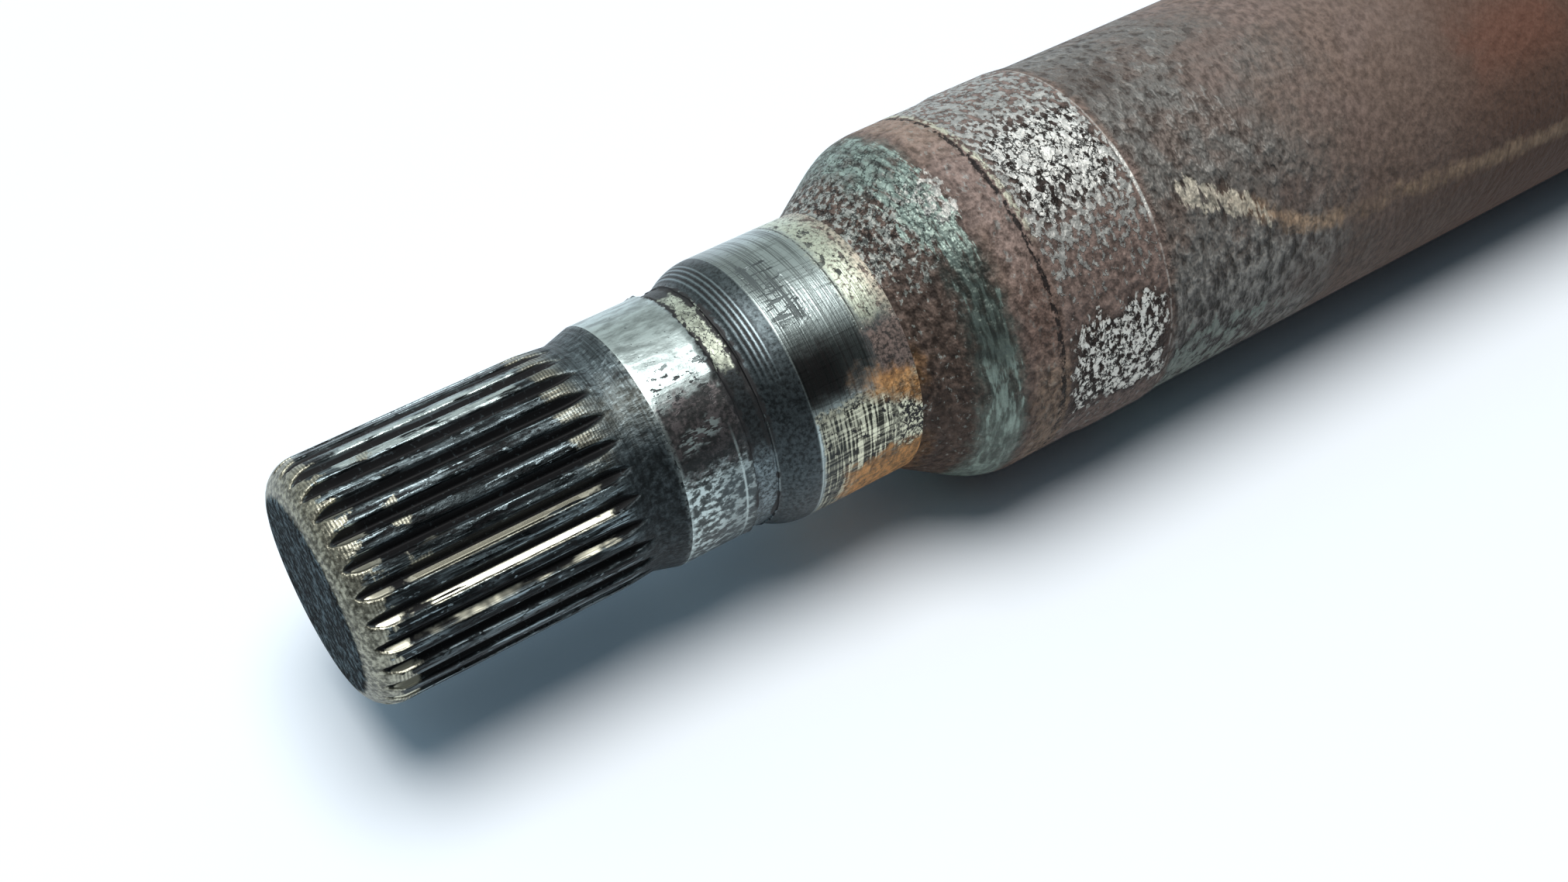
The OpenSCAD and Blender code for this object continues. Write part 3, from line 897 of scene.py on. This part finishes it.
def collar_edges(f, look, fine, chip):
    """Front edge of the flaked stretch, pale behind a black crack, and the white line at its rear edge: a
    painted highlight on the side that faces the camera, and faint all round.
    """
    lip = f.times(f.band(f.wobble(f.along, 0.6, 0.8, 89), 84.9, 85.7, 0.15), f.spread(fine, 0.44, 0.52))
    lip = f.times(lip, f.spread(f.angle, 50.0, 64.0))
    f.coat(lip, look.cream, metal=0.3, rough=0.45, share=0.8)
    crack = f.band(f.wobble(f.along, 0.6, 0.9, 90), 84.1, 84.8, 0.12)
    crack = f.times(crack, f.spread(chip, 0.55, 0.5))
    f.coat(crack, look.oil_black, metal=0.0, rough=0.6, share=0.9)
    # Painted highlight: a white line along the rear edge where it catches the light, on the side that faces
    # the camera.
    line = f.band(f.wobble(f.angle, 2.0, 6.0, 91), 44.0, 70.0, 3.0)
    line = f.times(f.shown, f.band(f.along, 100.4, 100.85, 0.12), line)
    faint = f.times(f.band(f.along, 100.5, 100.75, 0.12), f.spread(fine, 0.4, 0.5), 0.4)
    f.coat(f.either(line, faint), look.flake, metal=0.3, rough=0.4, share=0.92)


def rusted_body(f, look, body, fine, scab, cloud):
    """Body: grey, scabbed rust behind the collar, with painted shade in the hollows of its lumps, painted
    light on their tops and low down, brown farther on and deep brown in the middle.
    """
    near = f.times(body, f.spread(f.wobble(f.along, 9.0, 40.0, 93), 140.0, 110.0))
    far = f.times(body, f.spread(f.wobble(f.along, 9.0, 30.0, 94), 120.0, 150.0))
    tint = f.shade(f.times(f.spread(cloud, 0.46, 0.58), 0.6), look.grey_rust, look.rust)
    f.coat(near, tint, metal=0.15, rough=0.5, share=0.9)
    # Painted shade: the scab noise follows the lumps of the relief, so this darkens their hollows.
    hollow_shade = f.times(near, f.spread(scab, 0.47, 0.38))
    f.coat(hollow_shade, f.lit(look.rust, 0.25), metal=0.0, rough=0.6, share=0.7)
    # Painted highlight: pale grey on the tops of the lumps.
    lit_lump_tops = f.flakes(scab, f.times(near, 0.58))
    f.coat(lit_lump_tops, f.lit(look.grey_rust, 1.9), metal=0.2, rough=0.45, share=0.5)
    # Painted light: lighter, more varied grey low down, where the floor lights the body.
    under = f.times(near, f.spread(f.wobble(f.angle, 3.0, 16.0, 104), 36.0, 14.0))
    f.coat(under, f.shades(scab, look.grey_rust, (0.42, 0.3), (0.5, 0.9), (0.6, 2.2)), share=0.8)
    brown = f.shades(fine, look.rust, (0.36, 0.85), (0.5, 1.0), (0.64, 1.15))
    f.coat(far, brown, metal=0.0, rough=0.65, share=0.9)
    middle = f.times(body, f.spread(f.wobble(f.along, 9.0, 24.0, 101), 138.0, 164.0))
    deep_brown = f.shades(fine, look.deep_rust, (0.36, 0.9), (0.64, 1.1))
    f.coat(middle, deep_brown, metal=0.0, rough=0.65, share=0.9)
    lump = f.grain(0.55, (1, 1.7, 1.7), detail=2.0, rough=0.5, seed=102)
    f.raise_by(f.times(near, lump), 1.6)
    f.raise_by(f.times(far, lump), 0.35)


def pale_run(f, look, fine):
    """Pale run along the body: bone-coloured flakes at its start and a thin tan tail that sinks."""
    drift = f.grain(0.36, (1, 3.5, 3.5), detail=4.0, rough=0.6, seed=95)
    bend = f.math("ADD", f.angle, f.math("MULTIPLY", f.spread(f.along, 104.0, 127.0), 30.0))
    bend = f.math("ADD", bend, f.math("MULTIPLY", f.spread(f.along, 120.0, 175.0), 12.0))
    bead = f.grain(1.8, (1, 1.4, 1.4), detail=2.0, seed=107)
    beaded = f.level(f.spread(bead, 0.4, 0.54), 0.3, 1.0)
    beaded = f.either(beaded, f.spread(f.along, 130.0, 122.0))
    tail = f.times(f.shown, f.band(f.wobble(bend, 2.0, 9.0, 96), 44.5, 50.0, 2.2))
    tail = f.times(tail, f.spread(f.along, 108.0, 116.0), beaded)
    tail = f.times(tail, f.level(f.spread(f.along, 118.0, 136.0), 1.0, 0.8))
    tail = f.times(tail, f.spread(f.along, 186.0, 166.0))
    f.coat(tail, f.shades(drift, look.tan, (0.36, 0.7), (0.6, 1.5)), share=0.9)
    start = f.times(f.shown, f.band(f.wobble(bend, 2.0, 14.0, 97), 41.0, 53.0, 3.5))
    start = f.times(start, f.band(f.along, 104.5, 118.0, 3.0))
    f.coat(f.times(start, f.spread(drift, 0.5, 0.42)), f.lit(look.deep_rust, 0.5), share=0.5)
    bony = f.shades(fine, look.bone, (0.36, 0.5), (0.6, 1.1))
    f.coat(f.flakes(drift, f.times(start, 0.88)), bony, metal=0.1, rough=0.5, share=0.8)


def body_marks(f, look, body, fine, scab):
    """Greenish flakes low on the body, a red blush far along it and a dark smear behind the collar."""
    hem = f.times(body, f.spread(f.wobble(f.angle, 4.0, 14.0, 98), 8.0, -4.0))
    hem = f.times(hem, f.spread(f.along, 132.0, 108.0))
    greenish = f.shades(fine, look.patina, (0.36, 0.6), (0.6, 1.5))
    f.coat(f.flakes(scab, f.times(hem, 0.9)), greenish, metal=0.1, rough=0.5, share=0.6)
    blush = f.times(f.shown, f.band(f.wobble(f.along, 5.0, 16.0, 99), 154.0, 171.0, 4.0))
    f.coat(f.times(blush, f.band(f.angle, 36.0, 58.0, 9.0)), look.blush, share=0.22)
    smear = f.band(f.wobble(f.angle, 3.0, 16.0, 109), 84.0, 103.0, 5.0)
    smear = f.times(f.shown, smear, f.band(f.wobble(f.along, 2.0, 5.0, 110), 102.5, 109.0, 2.0))
    f.coat(smear, f.lit(look.deep_rust, 0.5), share=0.45)


def ring_line(start, stop, count):
    """Rings on a straight run between two (distance, radius) points, evenly spaced, the last left out."""
    part = np.linspace(0.0, 1.0, count, endpoint=False)[:, None]
    return np.array(start) + part * (np.array(stop) - np.array(start))


def ring_arc(centre, radius, first, last, count):
    """Rings on an arc: centre plus radius times (cos t, sin t), t from first to last, the last left out."""
    turn = np.linspace(first, last, count, endpoint=False)
    return np.array(centre) + radius * np.stack([np.cos(turn), np.sin(turn)], axis=1)


def lead_rings(sizes, start, bend):
    """Rings of the seal's lead-in: an arc that ends level, with fine turned grooves cut round it."""
    cut = RINGS_FROM + RING_PITCH * np.arange(RING_COUNT)
    sides = cut[:, None] + RING_PITCH * np.array([-0.25, 0.0, 0.25])
    rest = np.linspace(sides.max(), sizes.seal_start, 4)[1:-1]
    along = np.concatenate([[start], sides.ravel(), rest])
    depth = np.where(np.isin(along, sides[:, 1]), RING_DEPTH, 0.0)
    radius = sizes.seal_radius - bend + np.sqrt(bend**2 - (sizes.seal_start - along) ** 2) - depth
    return np.stack([along, radius], axis=1)


def spline_rings(sizes):
    """Rings from near the centre of an end face to the start of the seal track, as (distance, radius).
    Each stretch ends with its number of rings."""
    tip = sizes.spline_radius
    fade = sizes.nose_radius + sizes.spline_length
    neck = fade + sizes.fade_length
    cone = neck + sizes.neck_length
    seat = sizes.bearing_start
    relief = seat + sizes.bearing_length
    rim = relief + sizes.relief_width
    lead = rim + sizes.rim_length
    floor = sizes.bearing_radius - sizes.relief_depth
    rise = sizes.seal_radius - sizes.bearing_radius
    run = sizes.seal_start - lead
    bend = (run * run + rise * rise) / (2 * rise)
    nose = (sizes.nose_radius, tip - sizes.nose_radius)
    dip = sizes.bearing_radius - SEAT_EDGE_DROP
    return np.concatenate([
        ring_line((0.0, HUB_RADIUS), (0.0, nose[1]), 5),
        ring_arc(nose, sizes.nose_radius, math.pi, math.radians(140), 4),
        ring_arc(nose, sizes.nose_radius, math.radians(140), math.pi / 2, 14),
        ring_line((sizes.nose_radius, tip), (fade - sizes.runout_back, tip), 18),
        ring_line((fade - sizes.runout_back, tip), (fade, tip), 3),
        ring_line((fade, tip), (neck, sizes.neck_radius), 12),
        ring_line((neck, sizes.neck_radius), (cone, sizes.neck_radius), 2),
        ring_line((cone, sizes.neck_radius), (seat - EDGE, dip), 4),
        ring_line((seat - EDGE, dip), (seat + EDGE, sizes.bearing_radius), 2),
        ring_line((seat + EDGE, sizes.bearing_radius), (relief - EDGE, sizes.bearing_radius), 9),
        ring_line((relief - EDGE, sizes.bearing_radius), (relief, sizes.bearing_radius - EDGE), 1),
        ring_line((relief, sizes.bearing_radius - EDGE), (relief, floor), 2),
        ring_line((relief, floor), (rim, floor), 12),
        ring_line((rim, floor), (rim, sizes.bearing_radius - EDGE), 2),
        ring_line((rim, sizes.bearing_radius - EDGE), (rim + EDGE, sizes.bearing_radius), 1),
        ring_line((rim + EDGE, sizes.bearing_radius), (lead, sizes.bearing_radius), 2),
        lead_rings(sizes, lead, bend),
    ])


def body_rings(sizes):
    """Rings from the start of the seal track to the middle of the shaft, as (distance, radius). Each
    stretch ends with its number of rings."""
    slope = sizes.shoulder_angle
    foot = sizes.seal_start + sizes.seal_length
    foot_end = foot + sizes.foot_radius * math.sin(slope)
    foot_top = sizes.seal_radius + sizes.foot_radius * (1 - math.cos(slope))
    brow_foot = sizes.shoulder_radius - sizes.brow_radius * (1 - math.cos(slope))
    brow = foot_end + (brow_foot - foot_top) / math.tan(slope)
    land = brow + sizes.brow_radius * math.sin(slope)
    ramp = sizes.collar_start - sizes.ramp_in
    drop = sizes.collar_start + sizes.collar_length
    body = drop + sizes.ramp_out
    down, up = -math.pi / 2, math.pi / 2
    return np.concatenate([
        ring_line((sizes.seal_start, sizes.seal_radius), (foot, sizes.seal_radius), 14),
        ring_arc((foot, sizes.seal_radius + sizes.foot_radius), sizes.foot_radius, down, down + slope, 4),
        ring_line((foot_end, foot_top), (brow, brow_foot), 6),
        ring_arc((land, sizes.shoulder_radius - sizes.brow_radius), sizes.brow_radius, up + slope, up, 8),
        ring_line((land, sizes.shoulder_radius), (ramp, sizes.shoulder_radius), 9),
        ring_line((ramp, sizes.shoulder_radius), (sizes.collar_start, sizes.collar_radius), 4),
        ring_line((sizes.collar_start, sizes.collar_radius), (drop, sizes.collar_radius), 6),
        ring_line((drop, sizes.collar_radius), (body, sizes.body_radius), 5),
        ring_line((body, sizes.body_radius), (HALF, sizes.body_radius), 14),
    ])


def patchwork(turn, along, net, seed):
    """Smooth random field from -1 to 1 that closes round the shaft: random values at the corners of a
    net of cells, blended by the smooth step in each cell."""
    cells_round, cell = net
    values = np.random.default_rng(seed).uniform(-1.0, 1.0, (int(HALF / cell) + 3, cells_round))
    across = (turn % 1.0) * cells_round
    down = along / cell
    column, row = np.floor(across).astype(int), np.floor(down).astype(int)
    u, v = across - column, down - row
    u, v = u * u * (3 - 2 * u), v * v * (3 - 2 * v)
    column, after = column % cells_round, (column + 1) % cells_round
    upper = values[row, column] * (1 - u) + values[row, after] * u
    lower = values[row + 1, column] * (1 - u) + values[row + 1, after] * u
    return upper * (1 - v) + lower * v


def tooth_turns(sizes):
    """Turn of each column of points, twelve to a tooth, closest at a groove's lips. Gives the turns, and
    each column's place in its tooth's pitch, from -0.5 to 0.5 with the groove's middle at 0."""
    part = np.array([-0.5, -0.4, -0.32, -0.285, -0.185, -0.07, 0.0, 0.07, 0.185, 0.285, 0.32, 0.4])
    tooth = np.arange(sizes.teeth)[:, None]
    turns = sizes.first_groove / (2 * math.pi) + (tooth + part) / sizes.teeth
    return turns.ravel(), np.tile(part, sizes.teeth)


def spline_surface(sizes, turns, part, seed):
    """Radius of the splined end at each ring and column, with its groove, flank and grime masks.

    The radius is the smaller of the turned outline and the groove, blended by a soft minimum. The groove
    is its root line, level and then rising on the cutter's circle, plus flanks that climb as a V with a
    rounded root, by the groove depth over half the groove width."""
    rings = spline_rings(sizes)
    along, outline = rings[:, :1], rings[:, 1:]
    offset = np.abs(part) * 2 * math.pi * sizes.spline_radius / sizes.teeth
    round_off = ROOT_ROUNDING * sizes.root_width
    reach = math.hypot(sizes.groove_width / 2, round_off) - round_off
    flank = (np.hypot(offset, round_off) - round_off) * sizes.groove_depth / reach
    past = np.maximum(0.0, along - sizes.nose_radius - sizes.spline_length + sizes.runout_back)
    lift = sizes.cutter_radius - np.sqrt(np.maximum(sizes.cutter_radius**2 - past**2, 0.0))
    groove = sizes.spline_radius - sizes.groove_depth + lift + flank
    excess = np.clip(GROOVE_SHARPNESS * (outline - groove), -EXPONENT_LIMIT, EXPONENT_LIMIT)
    radius = outline - np.log1p(np.exp(excess)) / GROOVE_SHARPNESS
    depth = np.clip((outline - radius) / sizes.groove_depth, 0.0, 1.0)
    rubbed = np.clip(1.0 - np.abs(part - RUBBED_FLANK) / RUBBED_WIDTH, 0.0, 1.0)
    rubbed = rubbed * np.clip(depth * 8, 0.0, 1.0)

    turn = np.broadcast_to(turns, radius.shape)
    place = np.broadcast_to(along, radius.shape)
    grime = relief_grime(sizes, turn, place, seed)
    nick = tooth_nicks(sizes, turn, place, seed + 2)
    radius = radius + GRIME_HEIGHT * grime - NICK_DEPTH * nick
    return place, radius, {"groove": depth, "flank": rubbed, "grime": grime}


def relief_grime(sizes, turn, place, seed):
    """Crumbs of grime, from 0 to 1, in the two corners of the relief groove: a bell curve of the distance
    from each corner, times the higher part of two random fields."""
    relief = sizes.bearing_start + sizes.bearing_length
    rim = relief + sizes.relief_width
    front = (place - relief - 0.1 * MM) / (0.3 * MM)
    back = (place - rim + 0.15 * MM) / (0.35 * MM)
    corner = np.exp(-(front**2)) + np.exp(-(back**2))
    lump = patchwork(turn, place, FINE_GRIME, seed) + 0.6 * patchwork(turn, place, COARSE_GRIME, seed + 1)
    return np.clip(corner, 0.0, 1.0) * np.clip(lump + 0.25, 0.0, 1.0)


def tooth_nicks(sizes, turn, place, seed):
    """Nicks in the teeth, from 0 to 1: the peaks of a random field, from the nose to the end of the land."""
    peak = np.clip(patchwork(turn, place, NICKS, seed) - 0.6, 0.0, 1.0)
    return peak * ((place > NICKS_FROM) & (place < sizes.nose_radius + sizes.spline_length))


def body_surface(sizes, turns, seed):
    """Radius of the shaft from the seal track to its middle: the turned outline, eaten away by rust."""
    rings = body_rings(sizes)
    place = np.broadcast_to(rings[:, :1], (len(rings), len(turns)))
    turn = np.broadcast_to(turns, place.shape)
    eaten = 0.5 + 0.5 * patchwork(turn, place, RUST_PITS, seed)
    rusted = np.clip((place - sizes.seal_start - sizes.seal_length) / (1.0 * MM), 0.0, 1.0)
    radius = rings[:, 1:] - (RUST_LOSS + RUST_PIT_DEPTH * eaten) * rusted
    return place, radius


def ring_points(place, radius, turns, side):
    """Points of rings as (x, y, z). At distance a from an end face, radius r and turn t a point lies at
    x = side times (half the length - a), y = -r cos t, z = r sin t."""
    angle = 2 * math.pi * np.broadcast_to(turns, radius.shape)
    x = side * (HALF - place)
    return np.stack([x, -radius * np.cos(angle), radius * np.sin(angle)], axis=2).reshape(-1, 3)


def ring_grid(start, rows, count):
    """Four-sided faces between rings of count points each, the first point at index start."""
    step = np.arange(count)
    after = (step + 1) % count
    cell = np.stack([step, count + step, count + after, after], axis=1)
    row = start + count * np.arange(rows - 1)[:, None, None]
    return (row + cell).reshape(-1, 4)


def seam(fine, coarse, count):
    """Triangles from a fine ring to the coarse ring of count points on its right, three to each of the
    coarse ring's steps. The rings are given by the index of their first points. With its corners in
    reverse order it serves a coarse ring on the left."""
    step = np.arange(count)
    after = (step + 1) % count
    even, odd, later = fine + 2 * step, fine + 2 * step + 1, fine + 2 * after
    step, after = coarse + step, coarse + after
    rows = [(even, step, odd), (odd, step, after), (odd, after, later)]
    return np.concatenate([np.stack(row, axis=1) for row in rows])


def fan(centre, ring, count):
    """Triangles from a point to the ring of count points round it, for the left end face. With their
    corners in reverse order they serve the right one."""
    step = np.arange(count)
    return np.stack([np.full(count, centre), ring + step, ring + (step + 1) % count], axis=1)


def shaft_mesh(sizes):
    """The whole skin as one closed surface: fine rings of the two splined ends, coarse rings between, and
    a fan over the middle of each end face. Gives points, four-sided faces, triangles and point masks."""
    turns, part = tooth_turns(sizes)
    coarse_turns = turns[::2]
    wide, slim = len(turns), len(coarse_turns)
    left, right = [spline_surface(sizes, turns, part, seed) for seed in END_SEEDS]
    left_body, right_body = [body_surface(sizes, coarse_turns, seed) for seed in BODY_SEEDS]
    middle = (np.full((1, slim), HALF), np.full((1, slim), sizes.body_radius - MIDDLE_DROP))
    blocks = [
        ring_points(left[0], left[1], turns, -1),
        ring_points(left_body[0], left_body[1], coarse_turns, -1),
        ring_points(middle[0], middle[1], coarse_turns, 1),
        ring_points(right_body[0][::-1], right_body[1][::-1], coarse_turns, 1),
        ring_points(right[0][::-1], right[1][::-1], turns, 1),
        np.array([[-HALF, 0.0, 0.0], [HALF, 0.0, 0.0]]),
    ]
    starts = np.concatenate([[0], np.cumsum([len(block) for block in blocks])])
    body, right_end, centre = starts[1], starts[4], starts[5]
    fine, coarse = len(left[0]), 2 * len(left_body[0]) + 1
    quads = np.concatenate([
        ring_grid(0, fine, wide),
        ring_grid(body, coarse, slim),
        ring_grid(right_end, fine, wide),
    ])
    triangles = np.concatenate([
        seam((fine - 1) * wide, body, slim),
        seam(right_end, right_end - slim, slim)[:, ::-1],
        fan(centre, 0, wide),
        fan(centre + 1, right_end + (fine - 1) * wide, wide)[:, ::-1],
    ])
    masks = {}
    for name, values in left[2].items():
        parts = [values.ravel(), np.zeros(right_end - body), right[2][name][::-1].ravel(), np.zeros(2)]
        masks[name] = np.concatenate(parts)
    return np.concatenate(blocks), quads, triangles, masks


def fill_mesh(name, points, quads, triangles, masks):
    """Mesh from arrays of points, four-sided faces, triangles and point masks."""
    mesh = bpy.data.meshes.new(name)
    corners = np.concatenate([quads.ravel(), triangles.ravel()]).astype(np.int32)
    sizes = np.concatenate([np.full(len(quads), 4), np.full(len(triangles), 3)]).astype(np.int32)
    mesh.vertices.add(len(points))
    mesh.vertices.foreach_set("co", points.ravel())
    mesh.loops.add(len(corners))
    mesh.loops.foreach_set("vertex_index", corners)
    mesh.polygons.add(len(sizes))
    mesh.polygons.foreach_set("loop_start", (np.cumsum(sizes) - sizes).astype(np.int32))
    mesh.polygons.foreach_set("use_smooth", np.ones(len(sizes), dtype=bool))
    mesh.update(calc_edges=True)
    for key, values in masks.items():
        layer = mesh.attributes.new(key, "FLOAT", "POINT")
        layer.data.foreach_set("value", values.astype(np.float32))
    if mesh.validate():
        raise RuntimeError(f"the mesh of {name} had faults")
    return mesh


class SHAFT_OT_skin(Operator):
    """Build the shaft's worn skin over its solid, with its three finishes"""

    bl_idname = "axle_shaft.skin"
    bl_label = "Build the shaft"

    def execute(self, context):
        sizes, look = context.scene.shaft_sizes, context.scene.shaft_finish
        points, quads, triangles, masks = shaft_mesh(sizes)
        mesh = fill_mesh("shaft_skin", points, quads, triangles, masks)
        for material in (spline_steel(look), journal_steel(look, sizes), rusted_steel(look)):
            mesh.materials.append(material)
        centres = np.empty(len(mesh.polygons) * 3)
        mesh.polygons.foreach_get("center", centres)
        along = HALF - np.abs(centres[::3])
        foot = sizes.seal_start + sizes.seal_length
        index = (along > sizes.bearing_start).astype(np.int32) + (along > foot).astype(np.int32)
        mesh.polygons.foreach_set("material_index", index)
        skin = bpy.data.objects.new("shaft_skin", mesh)
        context.scene.collection.objects.link(skin)
        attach(skin, "root")
        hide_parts(NODE)
        count = 2 * len(quads) + len(triangles)
        if count >= MOST_TRIANGLES:
            raise RuntimeError(f"the skin has {count} triangles, and it has to stay under {MOST_TRIANGLES}")
        return {"FINISHED"}


class SHAFT_OT_stage(Operator):
    """Set up the floor, the overhead light, the room and the camera"""

    bl_idname = "axle_shaft.stage"
    bl_label = "Set the stage"

    def execute(self, context):
        scene, stage = context.scene, context.scene.shaft_stage
        scene.view_settings.view_transform = "Standard"
        self.lay_floor(scene, stage)
        self.hang_light(scene, stage)
        self.light_room(scene)
        camera = bpy.data.objects.new("camera", bpy.data.cameras.new("camera"))
        camera.data.sensor_width = SENSOR_WIDTH
        camera.data.lens = stage.lens
        camera.data.clip_start = NEAREST_VIEW
        camera.location = stage.camera_place
        view = Vector(stage.camera_aim) - Vector(stage.camera_place)
        camera.rotation_euler = view.to_track_quat("-Z", "Y").to_euler()
        scene.collection.objects.link(camera)
        scene.camera = camera
        return {"FINISHED"}

    def lay_floor(self, scene, stage):
        """Wide flat grid under the lowest point of the shaft."""
        side = np.linspace(-FLOOR_REACH, FLOOR_REACH, FLOOR_CELLS + 1)
        x, y = np.meshgrid(side, side, indexing="ij")
        points = np.stack([x, y, np.full_like(x, LOW.z)], axis=2).reshape(-1, 3)
        step = FLOOR_CELLS + 1
        cell = (np.arange(FLOOR_CELLS)[:, None] * step + np.arange(FLOOR_CELLS)).ravel()
        quads = np.stack([cell, cell + step, cell + step + 1, cell + 1], axis=1)
        mesh = fill_mesh("floor", points, quads, np.zeros((0, 3), dtype=np.int32), {})
        mesh.materials.append(self.pale_floor(stage.floor))
        floor = bpy.data.objects.new("floor", mesh)
        scene.collection.objects.link(floor)

    def pale_floor(self, colour):
        """Floor that shows its full colour but scatters less, so that it hardly lights the shaft."""
        material = bpy.data.materials.new("pale_floor")
        material.use_nodes = True
        tree = material.node_tree
        shader = tree.nodes["Principled BSDF"]
        dim = tuple(FLOOR_SCATTER * part for part in colour)
        feeds = {0: self.seen(tree), 6: opaque(dim), 7: opaque(colour)}
        pale = add_node(tree, "ShaderNodeMix", feeds, out=2, data_type="RGBA")
        feed(tree, shader.inputs["Base Color"], pale)
        feed(tree, shader.inputs["Roughness"], 0.6)
        feed(tree, shader.inputs["Specular IOR Level"], 0.2)
        return material

    def seen(self, tree):
        """1 where a ray comes from the camera or from a glossy or clear surface, 0 for scattered light."""
        path = add_node(tree, "ShaderNodeLightPath", out=None)
        total = path.outputs["Is Camera Ray"]
        for name in ("Is Glossy Ray", "Is Transmission Ray"):
            total = add_node(tree, "ShaderNodeMath", {0: total, 1: path.outputs[name]}, operation="MAXIMUM")
        return total

    def hang_light(self, scene, stage):
        """Broad light overhead."""
        lamp = bpy.data.objects.new("overhead_light", bpy.data.lights.new("overhead_light", "SUN"))
        lamp.data.energy = stage.light
        lamp.data.angle = stage.light_spread
        lamp.location = (0.0, 0.0, 1.0)
        lamp.rotation_euler = (-stage.light_tilt, 0.0, 0.0)
        scene.collection.objects.link(lamp)

    def light_room(self, scene):
        """Room that is dim in front, lighter behind and, where it is seen, pale at floor level."""
        world = bpy.data.worlds.new("room")
        scene.world = world
        world.use_nodes = True
        tree = world.node_tree

        def step(value, low, high):
            """Soft step: 0 at low, 1 at high."""
            feeds = {0: value, 1: low, 2: high}
            return add_node(tree, "ShaderNodeMapRange", feeds, interpolation_type="SMOOTHSTEP")

        def blend(mask, first, second, **settings):
            """Colour between two colours."""
            feeds = {0: mask, 6: first, 7: second}
            return add_node(tree, "ShaderNodeMix", feeds, out=2, data_type="RGBA", **settings)

        def grey(level):
            """Grey of one level."""
            return (level, level, level, 1.0)

        seen = self.seen(tree)
        spot = add_node(tree, "ShaderNodeTexCoord", out="Generated")
        split = add_node(tree, "ShaderNodeSeparateXYZ", {0: spot}, out=None)
        back, up = split.outputs[1], split.outputs[2]
        room = blend(step(back, -0.2, 0.6), grey(ROOM_FRONT), grey(ROOM_BACK))
        room = blend(step(up, 0.7, 0.95), room, grey(ROOM_TOP))
        feeds = {0: step(up, 0.12, 0.02), 1: seen}
        horizon = add_node(tree, "ShaderNodeMath", feeds, operation="MULTIPLY")
        room = blend(horizon, room, grey(ROOM_HORIZON))
        tint = blend(seen, opaque(SCATTERED_TINT), opaque(SEEN_TINT))
        tinted = blend(1.0, room, tint, blend_type="MULTIPLY")
        feed(tree, tree.nodes["Background"].inputs["Color"], tinted)


class SHAFT_PT_panel(Panel):
    """Lists the shaft's sizes, finishes and stage"""

    bl_idname = "SHAFT_PT_panel"
    bl_label = "Axle shaft"
    bl_space_type = "VIEW_3D"
    bl_region_type = "UI"
    bl_category = "Axle shaft"

    def draw(self, context):
        for title, group in (
            ("Sizes", context.scene.shaft_sizes),
            ("Finish", context.scene.shaft_finish),
            ("Stage", context.scene.shaft_stage),
        ):
            box = self.layout.box()
            box.label(text=title)
            for name in group.__annotations__:
                box.prop(group, name)
        self.layout.operator(SHAFT_OT_skin.bl_idname)
        self.layout.operator(SHAFT_OT_stage.bl_idname)


CLASSES = (
    ShaftSizes,
    ShaftFinish,
    StageSettings,
    SHAFT_OT_skin,
    SHAFT_OT_stage,
    SHAFT_PT_panel,
)


def register():
    """Registers the classes and hangs their settings on the scene."""
    for item in CLASSES:
        bpy.utils.register_class(item)
    bpy.types.Scene.shaft_sizes = PointerProperty(type=ShaftSizes)
    bpy.types.Scene.shaft_finish = PointerProperty(type=ShaftFinish)
    bpy.types.Scene.shaft_stage = PointerProperty(type=StageSettings)


def unregister():
    """Takes the settings off the scene and removes the classes."""
    del bpy.types.Scene.shaft_stage
    del bpy.types.Scene.shaft_finish
    del bpy.types.Scene.shaft_sizes
    for item in reversed(CLASSES):
        bpy.utils.unregister_class(item)


def main():
    """Builds the shaft and the stage."""
    register()
    bpy.ops.axle_shaft.skin()
    bpy.ops.axle_shaft.stage()


if __name__ == "__main__":
    main()
